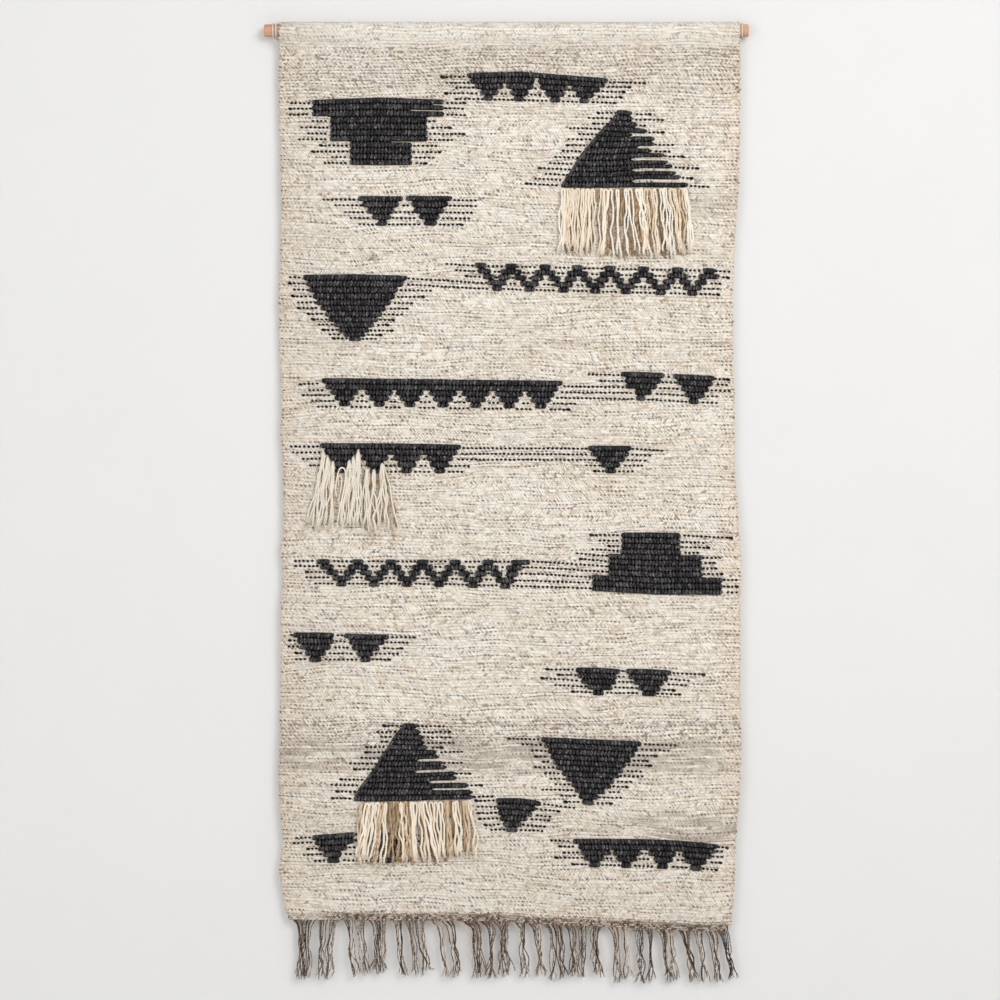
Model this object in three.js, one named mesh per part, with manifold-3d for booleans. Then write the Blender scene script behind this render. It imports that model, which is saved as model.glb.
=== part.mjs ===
// Tapestry wall hanging: a flat-woven cloth that hangs from a round wooden dowel.
// Millimetres, +Z up. The origin is the middle of the dowel's axis, where the dowel is held.
// The cloth's face looks towards -Y and the wall behind it is on the +Y side.
import * as THREE from 'three';
import * as BufferGeometryUtils from 'three/addons/utils/BufferGeometryUtils.js';
import Module from 'manifold-3d';

const wasm = await Module();
wasm.setup();

// ---------------------------------------------------------------- driving dimensions
const ROD_D = 20;                 // wooden dowel
const ROD_L = 775;
const ROD_CHAMFER = 1;
const BORE_R = 10.3;              // clear radius inside the rod pocket and the cord turns
const POCKET_R = 14;              // outside of the rod pocket
const POCKET_X0 = -362.2, POCKET_X1 = 368.4;
const SEAM_Z = -25;               // stitched line that closes the pocket
const NECK_Y = 4;                 // half thickness of the two cloth layers at the seam
const CLOTH_T = 4;                // thickness of the woven ground
const FOLD_Z = -934;              // free band of cloth where the lower part folds up
const FOLD_Y = -2.4;
const BAND_H = 9.6;               // twined finishing band along the bottom edge
const BAND_Y = 3;
const MOTIF_Y0 = -7.0, MOTIF_Y1 = -2.3;   // thick wool inlay standing on the face
const MAX_TIE = 40;               // longest stitch that ties two wool rows together
const FRINGE_BACK = -7.6, FRINGE_FRONT = -14.2, FRINGE_TOP_FRONT = -9.6;
const CORD_D = 2.7;
const HITCH_L_X = -371.1, HITCH_R_X = 374.2;  // two turns of cord round each rod end
const HITCH_PITCH = 4.8;
const CORD_SAG = 144;             // free cord behind the cloth, 0.82 m between the turns
const TASSEL_T_TOP = 2.6, TASSEL_T_END = 5;

// left and right selvedge of the cloth, [z, x left, x right]
const EDGES = [
  [-25.6,-362.2,369.4], [-48,-362.2,372.8], [-112,-363.6,372.8], [-192,-360.4,372.4], [-272,-358.8,369.6], [-316,-359.6,365.6],
  [-368,-360.4,363.2], [-432,-362.8,361.6], [-512,-362,361], [-576,-358,363.4], [-640,-359.6,364], [-712,-356.6,364.2],
  [-760,-355.4,369], [-800,-355,370.6], [-828,-360,373], [-872,-355.6,375.2], [-928,-359.6,373], [-992,-359.6,373],
  [-1072,-360.4,373], [-1136,-361,374.4], [-1200,-363.4,373.4], [-1256,-360.4,369], [-1296,-355.4,365], [-1344,-362,364.2],
  [-1392,-355.4,361], [-1413,-352.4,359.2],
];
// lower edge of the finishing band, [x, z]
const BOTTOM = [[-349.4,-1423.4],[-10.2,-1425.8],[53.8,-1430.6],[149.8,-1434.6],[245.8,-1438.6],[309.8,-1441.8],[355,-1441]];

// wool motifs. Each run is one thick row of wool: [x, z of its centre line, height above, height below]
const MOTIFS = {
  motif_stepped_upper: [
    [[-311,-115.4,4.8,4.6],[-205.4,-111.3,4.8,5.1],[-99.8,-114.8,4.8,4.6]], [[-311,-124.4,4.6,4.8],[-205.4,-121.2,5.1,4.8],[-99.8,-123.8,4.6,5.2]],
    [[-311,-133.7,4.8,4.8],[-205.4,-132.4,4.8,4.8],[-99.8,-134,5.2,4.8]], [[-282.2,-144.2,4.8,5.2],[-204.2,-143.3,4.8,5.1],[-126.2,-144.6,4.8,5.1]],
    [[-282.2,-154.5,5.2,4.9],[-204.2,-153.2,5.1,5.1],[-126.2,-154.5,5.1,5.1]],
    [[-282.2,-164.1,4.9,4.8],[-204.2,-163.1,5.1,5],[-126.2,-164.4,5.1,4.9]], [[-282.2,-173.4,4.8,4.8],[-204.2,-172.9,5,5.2],[-126.2,-174,4.9,4.8]],
    [[-251,-183.4,5.3,4.9],[-201,-183,5.1,5],[-151,-183.6,5.1,5]], [[-251,-193,4.9,4.5],[-201,-192.7,5,4.7],[-151,-193.4,5,4.7]],
    [[-251,-201.8,4.5,4.7],[-201,-201.8,4.7,5.1],[-151,-202.5,4.7,4.6]], [[-251,-211,4.7,4.8],[-201,-211.8,5.1,4.8],[-151,-211.4,4.6,4.8]],
  ],
  motif_bunting_upper: [
    [[-63,-72.1,4.8,4.8],[21.8,-69.7,4.8,4.9],[162.6,-80.9,4.8,4.8]], [[-57.4,-81.5,4.9,4.8],[21.8,-79.3,4.9,5.3],[45.8,-80.8,4.7,4.8]],
    [[50.6,-81.1,4.7,4.8],[157.8,-87.8,3.8,4.8]], [[-50.2,-89.7,4.3,4.8],[-4.6,-89.7,4.9,4.8]],
    [[0.2,-89.7,5,4.8],[21.8,-89.7,5.3,5.3],[43.4,-90.7,5.1,4.8]], [[53.8,-91.1,5,4.8],[97.8,-93.1,4.7,4.8]],
    [[103.4,-93.4,4.6,4.8],[149.8,-95.5,4.2,4.8]], [[-42.2,-98.9,4.7,4.8],[-12.6,-99.4,5,4.8]],
    [[6.6,-99.8,5.2,4.8],[21.8,-100.1,5.3,4.9],[35.4,-100.5,5.2,4.8]], [[61.8,-101.4,5.1,4.8],[93,-102.5,4.9,4.8]],
    [[110.6,-103.1,4.8,4.8],[140.2,-104.1,4.6,4.8]], [[-35.8,-108.3,4.8,4.8],[-21.4,-108.6,4.8,4.8]],
    [[12.2,-109.4,4.9,4.8],[21.8,-109.7,4.9,4.8],[27.4,-109.8,4.9,4.8]], [[69.8,-111.1,4.8,4.8],[85.8,-111.6,4.8,4.8]],
    [[117,-112.5,4.7,4.8],[132.2,-112.9,4.7,4.8]],
  ],
  motif_big_triangle_upper: [
    [[171.9,-134.6,4.8,4.9],[203.4,-134.6,4.8,4.7]], [[167.4,-144.2,4.8,4.5],[204.2,-143.7,4.6,4.5]],
    [[154.6,-153,4.8,5.3],[165.8,-153,4.5,5.3],[213.8,-152.4,4.8,4.6]], [[148.2,-163.4,4.8,5.2],[165.8,-163.4,5.3,5.2],[225.8,-161.7,4.8,4.8]],
    [[140.2,-173.5,4.8,4.8],[165.8,-173.5,5.2,4.8],[221.8,-173,4.8,4.3],[237.2,-173.7,4.8,4.3]],
    [[132.2,-183,4.8,5],[165.8,-183,4.8,5],[221.8,-181.4,4.3,5.2],[237.2,-182,4.3,4.8]],
    [[124.2,-192.7,4.8,5.3],[165.8,-192.7,5,5.3],[221.8,-191.6,5.2,4.1],[233,-192.2,5.3,3.9]],
    [[116.2,-203.1,4.8,5.1],[165.8,-203.1,5.3,5.1],[221.8,-199.6,4.1,4.8],[252.6,-200.2,4.8,4.8]],
    [[110.6,-213,4.8,4.5],[165.8,-213,5.1,4.5],[221.8,-210.5,4.8,3.5],[258.6,-211.1,4.8,3.4]],
    [[105,-221.8,4.8,4.4],[165.8,-221.8,4.5,4.4],[221.8,-217.2,3.5,5.4],[265.7,-217.8,4.8,5.4]],
    [[100.2,-230.3,4.8,4.3],[165.8,-230.3,4.4,4.3],[221.8,-227.8,5.4,3.3],[271.4,-228.4,4.8,3.3]],
    [[93.8,-238.6,4.8,4.5],[165.8,-238.6,4.3,4.5],[221.8,-234.2,3.3,4.8],[279.4,-234.8,4.8,4.8]],
    [[88.2,-247.4,4.8,4.8],[165.8,-247.4,4.5,4.8],[221.8,-246.6,4.8,4.8],[290.6,-247.3,4.8,4.8]],
  ],
  motif_pair_upper_left: [
    [[-237.4,-269.2,4.8,4.8],[-199,-269.2,4.8,4.7],[-165.4,-269.4,4.8,4.8]], [[-231,-278.3,4.7,4.8],[-199,-278.3,4.7,4.8],[-171.8,-278.5,4.7,4.8]],
    [[-223,-289.4,4.8,4.8],[-199,-289.4,4.8,4.7],[-179.8,-289.5,4.8,4.8]], [[-215,-298.5,4.7,4.8],[-199,-298.5,4.7,5.2],[-184.6,-298.6,4.7,4.8]],
    [[-206,-308.7,5.2,4.8],[-199,-308.7,5.2,4.8],[-191,-308.8,5.2,4.8]],
  ],
  motif_pair_upper_right: [
    [[-160.6,-268.6,4.8,4.8],[-122.2,-268.9,4.8,4.7],[-87,-269.2,4.8,4.8]], [[-152.6,-277.8,4.7,4.8],[-122.2,-278,4.7,4.8],[-93.4,-278.3,4.7,4.8]],
    [[-147.8,-288.9,4.8,4.8],[-122.2,-289,4.8,4.7],[-99.8,-289.3,4.8,4.8]],
    [[-139.8,-298.1,4.7,4.8],[-122.2,-298.2,4.7,5.2],[-106.8,-298.3,4.7,4.8]],
    [[-131.8,-308.3,5.2,4.8],[-122.2,-308.4,5.2,4.8],[-111,-308.5,5.2,4.8]],
  ],
  motif_inverted_triangle_upper: [
    [[-325.4,-395,4.8,4.8],[-242.2,-394,4.8,4.8],[-159,-396.6,4.8,4.8]], [[-320.6,-405.2,5.3,4.8],[-164.6,-406.2,5,4.8]],
    [[-315.8,-415,5,4.8],[-173.4,-415.6,4.9,4.8]], [[-309.4,-425.4,5.3,4.8],[-178.2,-426,5.3,4.8]],
    [[-303.8,-435.3,5.1,4.8],[-184.6,-435.9,5.1,4.8]], [[-297,-444.2,4.6,4.8],[-192.6,-444.9,4.6,4.8]],
    [[-290.2,-453.8,4.9,4.8],[-198.3,-454.5,4.9,4.8]], [[-284.7,-462.2,4.3,4.8],[-205,-462.8,4.3,4.8]],
    [[-276.9,-470.6,4.3,4.8],[-211.8,-471.3,4.4,4.8]], [[-269,-479.3,4.4,4.8],[-219.8,-479.9,4.5,4.8]],
    [[-260.1,-486.3,3.6,4.8],[-226.2,-487,3.7,4.8]], [[-252.1,-492.7,3.2,4.8],[-233,-493.4,3.4,4.8]],
  ],
  motif_zigzag_upper: [
    [[-50.6,-375.6,4.8,4.8],[-42.2,-376.1,4.8,4.6],[-32.1,-376.3,4.8,4.6]], [[-1.8,-377,4.8,4.6],[16.7,-377.4,4.8,4.7]],
    [[52.9,-378.2,4.8,4.7],[71.4,-378.6,4.8,4.7]], [[104.7,-379.3,4.8,4.8],[123.3,-379.7,4.8,4.8]], [[156.6,-380.5,4.8,4.8],[175.1,-380.9,4.8,4.8]],
    [[209.8,-381.7,4.8,4.9],[228.4,-382.1,4.8,4.9]], [[264.6,-382.9,4.8,4.9],[283.1,-383.3,4.8,5]], [[315,-384,4.8,5],[333.5,-384.4,4.8,5]],
    [[-46.2,-384.8,4.6,4.8],[-24.4,-385.5,4.8,4.6]], [[-9.5,-385.8,4.8,4.6],[24.4,-386.7,4.8,4.7]], [[45.2,-387.2,4.8,4.7],[79.1,-388,4.8,4.8]],
    [[97,-388.4,4.8,4.8],[131,-389.2,4.8,4.8]], [[148.9,-389.7,4.8,4.9],[182.8,-390.5,4.8,4.9]], [[202.2,-391,4.8,4.9],[236.1,-391.8,4.8,5]],
    [[256.9,-392.3,4.8,5],[290.8,-393.1,4.8,5]], [[307.3,-393.5,4.8,5.1],[341.2,-394.4,4.8,4.8]], [[-37.9,-394.1,4.6,4.8],[-18.1,-394.6,4.8,4.7]],
    [[-13.5,-394.8,4.8,4.7],[6.3,-395.3,4.7,4.8]], [[12.3,-395.5,4.7,4.8],[32.2,-396,4.8,4.7]], [[39.7,-396.2,4.8,4.7],[59.5,-396.7,4.7,4.8]],
    [[67,-396.9,4.7,4.8],[86.9,-397.5,4.8,4.7]], [[93,-397.6,4.8,4.7],[112.8,-398.2,4.8,4.8]], [[118.2,-398.3,4.8,4.8],[138,-398.9,4.8,4.7]],
    [[144.1,-399,4.8,4.7],[163.9,-399.6,4.9,4.8]], [[168.5,-399.7,4.9,4.8],[188.3,-400.2,4.8,4.6]], [[195.1,-400.4,4.8,4.6],[215,-400.9,4.9,4.8]],
    [[223.2,-401.1,4.9,4.8],[243,-401.7,4.8,4.6]], [[250.6,-401.9,4.8,4.6],[270.4,-402.4,5,4.8]], [[275.8,-402.6,5,4.8],[295.6,-403.1,4.8,4.6]],
    [[301,-403.2,4.8,4.6],[320.8,-403.8,5.1,4.8]], [[-30,-403.6,4.8,4.8],[0.7,-404.4,4.7,4.8]], [[21.7,-404.9,4.7,4.8],[52.4,-405.7,4.7,4.8]],
    [[76.4,-406.4,4.7,4.8],[107.1,-407.2,4.7,4.8]], [[126.8,-407.7,4.7,4.8],[157.5,-408.5,4.7,4.8]], [[175.6,-408.9,4.7,4.8],[206.3,-409.7,4.6,4.8]],
    [[231.8,-410.4,4.6,4.8],[262.5,-411.2,4.6,4.8]], [[282.2,-411.7,4.6,4.8],[312.9,-412.5,4.6,4.8]], [[-23,-412.9,4.7,4.8],[-6.3,-413.3,4.7,4.8]],
    [[28.7,-414.1,4.6,4.8],[45.4,-414.5,4.6,4.8]], [[83.4,-415.5,4.6,4.8],[100.1,-415.9,4.6,4.8]], [[133.8,-416.7,4.6,4.8],[150.5,-417.1,4.5,4.8]],
    [[182.6,-417.9,4.5,4.8],[199.3,-418.3,4.5,4.8]], [[238.8,-419.3,4.5,4.8],[255.4,-419.7,4.5,4.8]],
    [[289.2,-420.5,4.4,4.8],[305.8,-420.9,4.4,4.8]],
  ],
  motif_bunting_wide: [
    [[-295.6,-560.1,4.8,4.8],[90,-564.6,4.8,4.8]], [[-290.2,-570.5,5.3,4.8],[83.4,-574.1,4.9,4.8]], [[-281.4,-579,4.3,4.8],[-236.6,-579.5,4.3,4.8]],
    [[-226.2,-579.6,4.4,4.8],[-181.4,-580.1,4.4,4.8]], [[-177.2,-580.2,4.4,4.8],[-132.4,-580.7,4.4,4.8]],
    [[-123.8,-580.8,4.4,4.8],[-79,-581.3,4.5,4.8]], [[-71.6,-581.3,4.5,4.8],[-26.8,-581.8,4.5,4.8]], [[-18.2,-581.9,4.5,4.8],[26.6,-582.4,4.6,4.8]],
    [[32.4,-582.5,4.6,4.8],[77.2,-583,4.6,4.8]], [[-275,-588,4.6,4.8],[-243,-588.4,4.6,4.8]], [[-219.8,-588.7,4.6,4.8],[-187.8,-589.1,4.6,4.8]],
    [[-170.8,-589.3,4.6,4.8],[-138.8,-589.7,4.7,4.8]], [[-117.4,-589.9,4.7,4.8],[-85.4,-590.3,4.7,4.8]],
    [[-65.2,-590.5,4.7,4.8],[-33.2,-590.9,4.7,4.8]], [[-11.8,-591.2,4.7,4.8],[20.2,-591.6,4.7,4.8]], [[38.8,-591.8,4.7,4.8],[70.8,-592.2,4.7,4.8]],
    [[-267.9,-597.3,4.7,4.8],[-250,-597.5,4.7,4.8]], [[-212.7,-598,4.7,4.8],[-194.8,-598.2,4.7,4.8]],
    [[-163.8,-598.6,4.7,4.8],[-145.8,-598.8,4.7,4.8]], [[-110.3,-599.3,4.8,4.8],[-92.4,-599.5,4.8,4.8]],
    [[-58.2,-599.9,4.8,4.8],[-40.2,-600.1,4.8,4.8]], [[-4.7,-600.6,4.8,4.8],[13.2,-600.8,4.8,4.8]], [[45.8,-601.2,4.8,4.8],[63.8,-601.4,4.8,4.8]],
  ],
  motif_pair_mid_left: [
    [[183.1,-550,4.8,4.8],[217,-550.5,4.8,4.9],[253,-552.3,4.8,4.8]], [[189.8,-559.8,5,4.9],[217,-560.1,4.9,4.8],[247.4,-561.5,4.8,4.8]],
    [[190.5,-569.3,4.9,4.8],[217,-569.4,4.8,4.8],[241,-570.7,4.9,4.8]], [[205.2,-578.7,4.8,4.8],[217,-578.8,4.8,5],[232.7,-579.6,4.8,4.8]],
    [[207.9,-588.4,5,4.8],[217,-588.6,5,4.8],[222.6,-588.9,5,4.8]],
  ],
  motif_pair_mid_right: [
    [[266.6,-553.5,4.8,4.8],[298.6,-555.1,4.8,4.7],[332.9,-556.7,4.8,4.8]], [[272.2,-563,4.8,4.8],[298.6,-564.2,4.7,5.2],[330.2,-565.5,4.6,4.8]],
    [[279.4,-573.3,5.1,4.8],[298.6,-574.3,5.2,4.8],[324.2,-575.1,5.1,4.8]], [[285.8,-582.9,4.8,4.8],[298.6,-583.6,4.8,5.2],[317.8,-584.2,4.8,4.8]],
    [[291.6,-593.4,5.2,4.8],[298.6,-593.8,5.2,4.8],[308.2,-594.2,5.3,4.8]],
  ],
  motif_bunting_mid: [
    [[-298.2,-664.3,4.8,4.8],[-186.2,-664.6,4.8,5.3],[-72.6,-666.8,4.8,4.8]], [[-291.8,-674.1,5,4.8],[-78.2,-675.7,4.6,4.8]],
    [[-287,-684,5,4.8],[-243.4,-684.2,5,4.8]], [[-231.9,-684.2,5,4.8],[-188.4,-684.5,4.9,4.8]], [[-181.4,-684.5,4.9,4.8],[-137.8,-684.7,4.8,4.8]],
    [[-128.6,-684.8,4.8,4.8],[-85,-685,4.8,4.8]], [[-280.6,-694.5,5.4,4.8],[-249.8,-694.6,5.4,4.8]],
    [[-225.5,-694.8,5.4,4.8],[-194.8,-694.9,5.4,4.8]], [[-175,-695,5.4,4.8],[-144.2,-695.2,5.4,4.8]],
    [[-122.2,-695.3,5.4,4.8],[-91.4,-695.4,5.4,4.8]], [[-274,-704.2,4.9,4.8],[-256.4,-704.2,4.9,4.8]],
    [[-219,-704.4,4.9,4.8],[-201.4,-704.4,4.9,4.8]], [[-168.4,-704.5,4.9,4.8],[-150.8,-704.6,4.9,4.8]],
    [[-115.6,-704.7,4.8,4.8],[-98,-704.8,4.8,4.8]],
  ],
  motif_small_triangle_mid: [
    [[130.6,-668.6,4.8,4.8],[199.4,-668.6,4.8,4.8]], [[134.6,-677.6,4.6,4.8],[196.2,-677.8,4.8,4.8]],
    [[143.4,-686.5,4.6,4.8],[189.8,-686.6,4.5,4.8]], [[151.4,-695.4,4.6,4.8],[181.8,-695.4,4.5,4.8]],
    [[157.8,-704.7,4.8,4.8],[175.4,-704.7,4.8,4.8]],
  ],
  motif_zigzag_lower: [
    [[-303.8,-850,4.8,4.8],[-282.2,-850,4.8,4.2]], [[-246.6,-850.2,4.8,4.3],[-228.1,-850.2,4.8,4.3]],
    [[-193.8,-850.3,4.8,4.3],[-175.3,-850.4,4.8,4.3]], [[-143.4,-850.5,4.8,4.3],[-124.9,-850.6,4.8,4.3]],
    [[-91.4,-850.7,4.8,4.4],[-72.9,-850.7,4.8,4.4]], [[-38.6,-850.8,4.8,4.5],[-20.1,-850.9,4.8,4.5]], [[7.4,-851,4.8,4.6],[37.8,-851.1,4.8,4.8]],
    [[-298.2,-858.2,4.2,4.8],[-276.1,-858.3,4.8,4.7]], [[-254.3,-858.4,4.8,4.7],[-220.4,-858.6,4.8,4.7]],
    [[-201.5,-858.7,4.8,4.8],[-167.6,-858.8,4.8,4.8]], [[-151.1,-858.9,4.8,4.8],[-117.2,-859.1,4.8,4.8]],
    [[-99.1,-859.2,4.8,4.9],[-65.2,-859.4,4.8,5]], [[-46.3,-859.5,4.8,5],[-12.4,-859.8,4.8,5.2]], [[-0.6,-859.9,4.8,5.2],[25.8,-860,4.6,4.8]],
    [[-288.1,-867.3,4.7,4.8],[-268.2,-867.5,4.8,4.6]], [[-260.5,-867.5,4.8,4.6],[-240.6,-867.7,4.7,4.8]],
    [[-234.5,-867.7,4.7,4.8],[-214.6,-867.8,4.8,4.6]], [[-208.1,-867.9,4.8,4.6],[-188.2,-868,4.8,4.8]],
    [[-181.7,-868.1,4.8,4.8],[-161.8,-868.2,4.8,4.7]], [[-156.5,-868.2,4.8,4.7],[-136.6,-868.4,4.8,4.8]],
    [[-130.9,-868.4,4.8,4.8],[-111,-868.5,4.8,4.8]], [[-104.9,-868.6,4.8,4.8],[-85,-868.9,4.9,4.8]], [[-77.7,-869,4.9,4.8],[-57.8,-869.2,4.8,5]],
    [[-51.3,-869.3,4.8,5.1],[-31.4,-869.6,5.1,4.8]], [[-25.7,-869.7,5.1,4.8],[-5.8,-870,4.8,5.4]], [[-0.5,-870,5.2,5.4],[19.4,-870.3,5.3,4.8]],
    [[-279.1,-876.3,4.6,4.8],[-248.4,-876.6,4.6,4.8]], [[-227.1,-876.8,4.6,4.8],[-196.4,-877,4.7,4.8]],
    [[-174.3,-877.2,4.7,4.8],[-143.6,-877.5,4.7,4.8]], [[-123.1,-877.7,4.7,4.8],[-106.2,-877.8,4.8,4.6],[-92.4,-878.2,4.8,4.8]],
    [[-68.7,-878.8,5,4.8],[-38,-879.6,5.2,4.8]], [[-17.5,-880.1,5.3,4.8],[13.2,-880.9,4.8,4.8]], [[-272.1,-885.7,4.8,4.8],[-255.4,-885.9,4.8,4.8]],
    [[-220.1,-886.1,4.7,4.8],[-203.4,-886.2,4.7,4.8]], [[-167.3,-886.4,4.7,4.8],[-150.6,-886.5,4.7,4.8]],
    [[-116.1,-886.7,4.6,4.8],[-106.2,-886.8,4.6,4.8],[-99.4,-887,4.6,4.8]], [[-61.7,-888,4.6,4.8],[-45,-888.4,4.6,4.8]],
    [[-10.5,-889.3,4.6,4.8],[6.2,-889.7,4.6,4.8]],
  ],
  motif_stepped_lower: [
    [[183.4,-807.4,4.8,4.6],[237.8,-807.1,4.8,4.8],[278.6,-808.1,4.8,5.3]], [[183.4,-816.5,4.6,4.5],[237.8,-816.6,4.8,4.7],[278.6,-818.5,5.3,4.2]],
    [[183.4,-825.2,4.5,4],[237.8,-825.7,4.7,4.6],[279.4,-826.7,4.2,4.5]], [[181.8,-832.9,4,4.5],[237.8,-834.6,4.6,4.6],[279.4,-835.5,4.5,4.2]],
    [[162.6,-841,4.8,4.3],[237.8,-843.6,4.6,4.6],[313,-843.8,4.8,4.2]], [[162.6,-849.4,4.3,4.2],[237.8,-852.6,4.6,4.7],[313,-852.1,4.2,4.6]],
    [[162.6,-857.5,4.2,4.6],[237.8,-861.7,4.7,4.7],[313,-861.1,4.6,4.5]], [[162.6,-866.5,4.6,5],[237.8,-870.8,4.7,4.8],[313.8,-869.9,4.5,4.9]],
    [[136.2,-875,4.8,4.6],[237.8,-880.1,4.8,4.8],[345.8,-879.3,4.8,5.3]], [[136.2,-884,4.6,4.5],[237.8,-889.4,4.8,4.8],[345.8,-889.6,5.3,4.9]],
    [[137,-892.8,4.5,4.8],[237.8,-898.6,4.8,4.8],[345.8,-899.2,4.9,4.8]],
  ],
  motif_pair_low_left_a: [
    [[-341.4,-967.6,4.8,4.8],[-304.6,-967.1,4.8,5.1],[-275.8,-968,4.8,5]], [[-335,-976.4,4.5,4.8],[-304.6,-977,5.1,5.1],[-275.8,-977.7,5,4.8]],
    [[-330.2,-986.3,5,4.8],[-304.6,-987,5.1,5.1],[-280.6,-987.4,5,4.8]], [[-322.2,-996.7,5.2,4.8],[-288.6,-997,5,4.8]],
    [[-315.8,-1006.5,5,4.8],[-295.8,-1006.6,4.9,4.8]],
  ],
  motif_pair_low_left_b: [
    [[-259.8,-968.5,4.8,4.8],[-224.6,-970,4.8,4.6],[-187.8,-970.7,4.8,4.8]], [[-251.8,-978.3,4.8,4.8],[-224.6,-979,4.6,4.9],[-194.2,-979.3,4.5,4.8]],
    [[-247,-988.1,5,4.8],[-224.6,-988.6,4.9,4.6],[-203,-988.8,4.9,4.8]], [[-239.8,-997.4,4.7,4.8],[-224.6,-997.5,4.6,4.7],[-212.6,-997.5,4.5,4.8]],
    [[-234.2,-1006.7,4.7,4.8],[-217.4,-1006.7,4.7,4.8]],
  ],
  motif_pair_low_right_a: [
    [[110.6,-1023.4,4.8,4.8],[146.6,-1023.6,4.8,4.6],[182.6,-1025.8,4.8,4.8]], [[113.8,-1032.2,4.5,4.8],[146.6,-1032.6,4.6,5],[177,-1034.6,4.7,4.4]],
    [[119.4,-1041.4,4.7,4.8],[175.4,-1043.1,4.4,4.8]], [[129,-1050.5,4.5,4.8],[169.8,-1051.6,4.5,4.8]],
    [[137.8,-1059.8,4.6,4.8],[155.9,-1060.1,4.6,4.8]],
  ],
  motif_pair_low_right_b: [
    [[191.4,-1025.2,4.8,4.8],[228.2,-1025.8,4.8,4.5],[264.2,-1028,4.8,4.8]],
    [[194.6,-1034.4,4.7,4.8],[228.2,-1034.6,4.5,4.4],[258.6,-1037.5,5.1,4.8]],
    [[202.6,-1042.9,4.3,4.8],[228.2,-1043.3,4.4,5.1],[252.2,-1045.2,4.3,4.8]], [[210.6,-1052,4.6,4.8],[246.6,-1054.5,5,4.8]],
    [[217,-1060.6,4.2,4.8],[240.2,-1061.3,3.7,4.8]],
  ],
  motif_big_triangle_lower: [
    [[-165.4,-1112.7,4.8,5.2],[-143,-1113.3,4.8,5]], [[-173.4,-1122.6,4.8,4.2],[-162.2,-1123,5.1,4.1],[-136.6,-1123,4.8,4.3]],
    [[-179.8,-1130.6,4.8,4.2],[-162.2,-1131,4.1,4.1],[-131.8,-1131.4,4.8,4.3]],
    [[-184.6,-1138.6,4.8,4.1],[-162.2,-1139,4.1,4.1],[-130.2,-1139.8,4.3,3.9]],
    [[-189.4,-1146.6,4.8,4.4],[-162.2,-1147,4.1,4.4],[-125.4,-1147.5,4.8,3.9]],
    [[-195,-1155.1,4.8,4.7],[-162.2,-1155.4,4.4,4.7],[-111,-1155,4.8,3.8]],
    [[-202.2,-1164.2,4.8,4.6],[-162.2,-1164.6,4.7,4.6],[-114.2,-1162.3,3.8,4.8],[-107.8,-1162.3,4.8,5.2]],
    [[-206.2,-1173.2,4.8,4.6],[-162.2,-1173.5,4.6,4.6],[-114.2,-1172.9,4.8,3.6],[-101.4,-1172.2,4.8,3.7]],
    [[-211.8,-1182.2,4.8,4.5],[-162.2,-1182.5,4.6,4.4],[-114.2,-1179.9,3.6,5.1],[-95.4,-1179.3,4.8,5.2]],
    [[-219,-1190.8,4.8,4.1],[-162.2,-1191.1,4.4,4.1],[-114.2,-1189.8,5.1,3.3],[-81.4,-1189.2,4.8,3.3]],
    [[-224.6,-1198.8,4.8,4.6],[-162.2,-1199.1,4.1,4.6],[-114.2,-1196.2,3.3,4.8],[-79,-1195.6,4.8,4.8]],
    [[-231.8,-1207.8,4.8,5.3],[-162.2,-1208.1,4.6,5.2],[-114.2,-1208.7,4.8,4.8],[-59.8,-1208.1,4.8,4.8]],
    [[-239,-1218,4.8,4.8],[-162.2,-1218.3,5.2,4.8],[-114.2,-1219.9,4.8,3.6],[-54.2,-1219.3,4.8,3.6]],
    [[-243.8,-1228.9,4.8,4.8],[-162.2,-1229.2,4.8,4.8],[-114.2,-1227,3.6,4.8],[-52.7,-1226.3,3.7,4.8]],
  ],
  motif_inverted_triangle_lower: [
    [[55.4,-1134.6,4.8,4.8],[216.2,-1141.8,4.8,4.8]], [[60.2,-1143.4,4.4,4.8],[210.6,-1150.6,4.6,4.8]],
    [[66.6,-1153,4.8,4.8],[205.8,-1159.4,4.6,4.8]], [[70.6,-1162.2,4.6,4.8],[199.4,-1168.2,4.7,4.8]],
    [[74.6,-1170.6,4.3,4.8],[191.4,-1175.4,3.9,4.8]], [[79.4,-1179.4,4.4,4.8],[186.6,-1185,5,4.8]], [[89,-1189,4.7,4.8],[180.2,-1193,4.3,4.8]],
    [[95.4,-1197.8,4.4,4.8],[172.2,-1201.8,4.7,4.8]], [[103.4,-1206.6,4.3,4.8],[167.4,-1209.8,4.2,4.8]],
    [[109,-1215.4,4.4,4.8],[157.8,-1218.6,4.8,4.8]], [[115.4,-1225,4.7,4.8],[147.4,-1227.4,4.9,4.8]],
    [[121,-1234.6,4.7,4.8],[140.2,-1236.2,4.8,4.8]],
  ],
  motif_small_triangle_lower: [
    [[-16.6,-1232.4,4.8,5],[21.8,-1232.4,4.8,4.9],[55.4,-1237.5,4.8,4.8]], [[-15.8,-1242.2,5,4.8],[21.8,-1242,4.9,5.2],[46.6,-1245.3,4.7,4.8]],
    [[-13.4,-1251.7,4.9,4.8],[13.8,-1251.1,4.7,4.7],[41,-1255,5.3,4.8]], [[-10.2,-1260.8,4.7,4.8],[13.8,-1260.2,4.7,5],[33.8,-1261.3,3.8,4.8]],
    [[-5.4,-1270.2,4.9,4.8],[9,-1269.5,4.7,4.6],[24.2,-1270.8,5.1,4.8]], [[-0.6,-1278.6,4.4,4.8],[9,-1278.5,4.6,4.8],[17.8,-1278.9,4.5,4.8]],
  ],
  motif_pair_bottom_a: [
    [[-311,-1291.8,4.8,4.8],[-242.2,-1286.5,4.8,5.2]], [[-306.2,-1299.8,4.2,4.8],[-243,-1296.8,5.2,4.8]],
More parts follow.
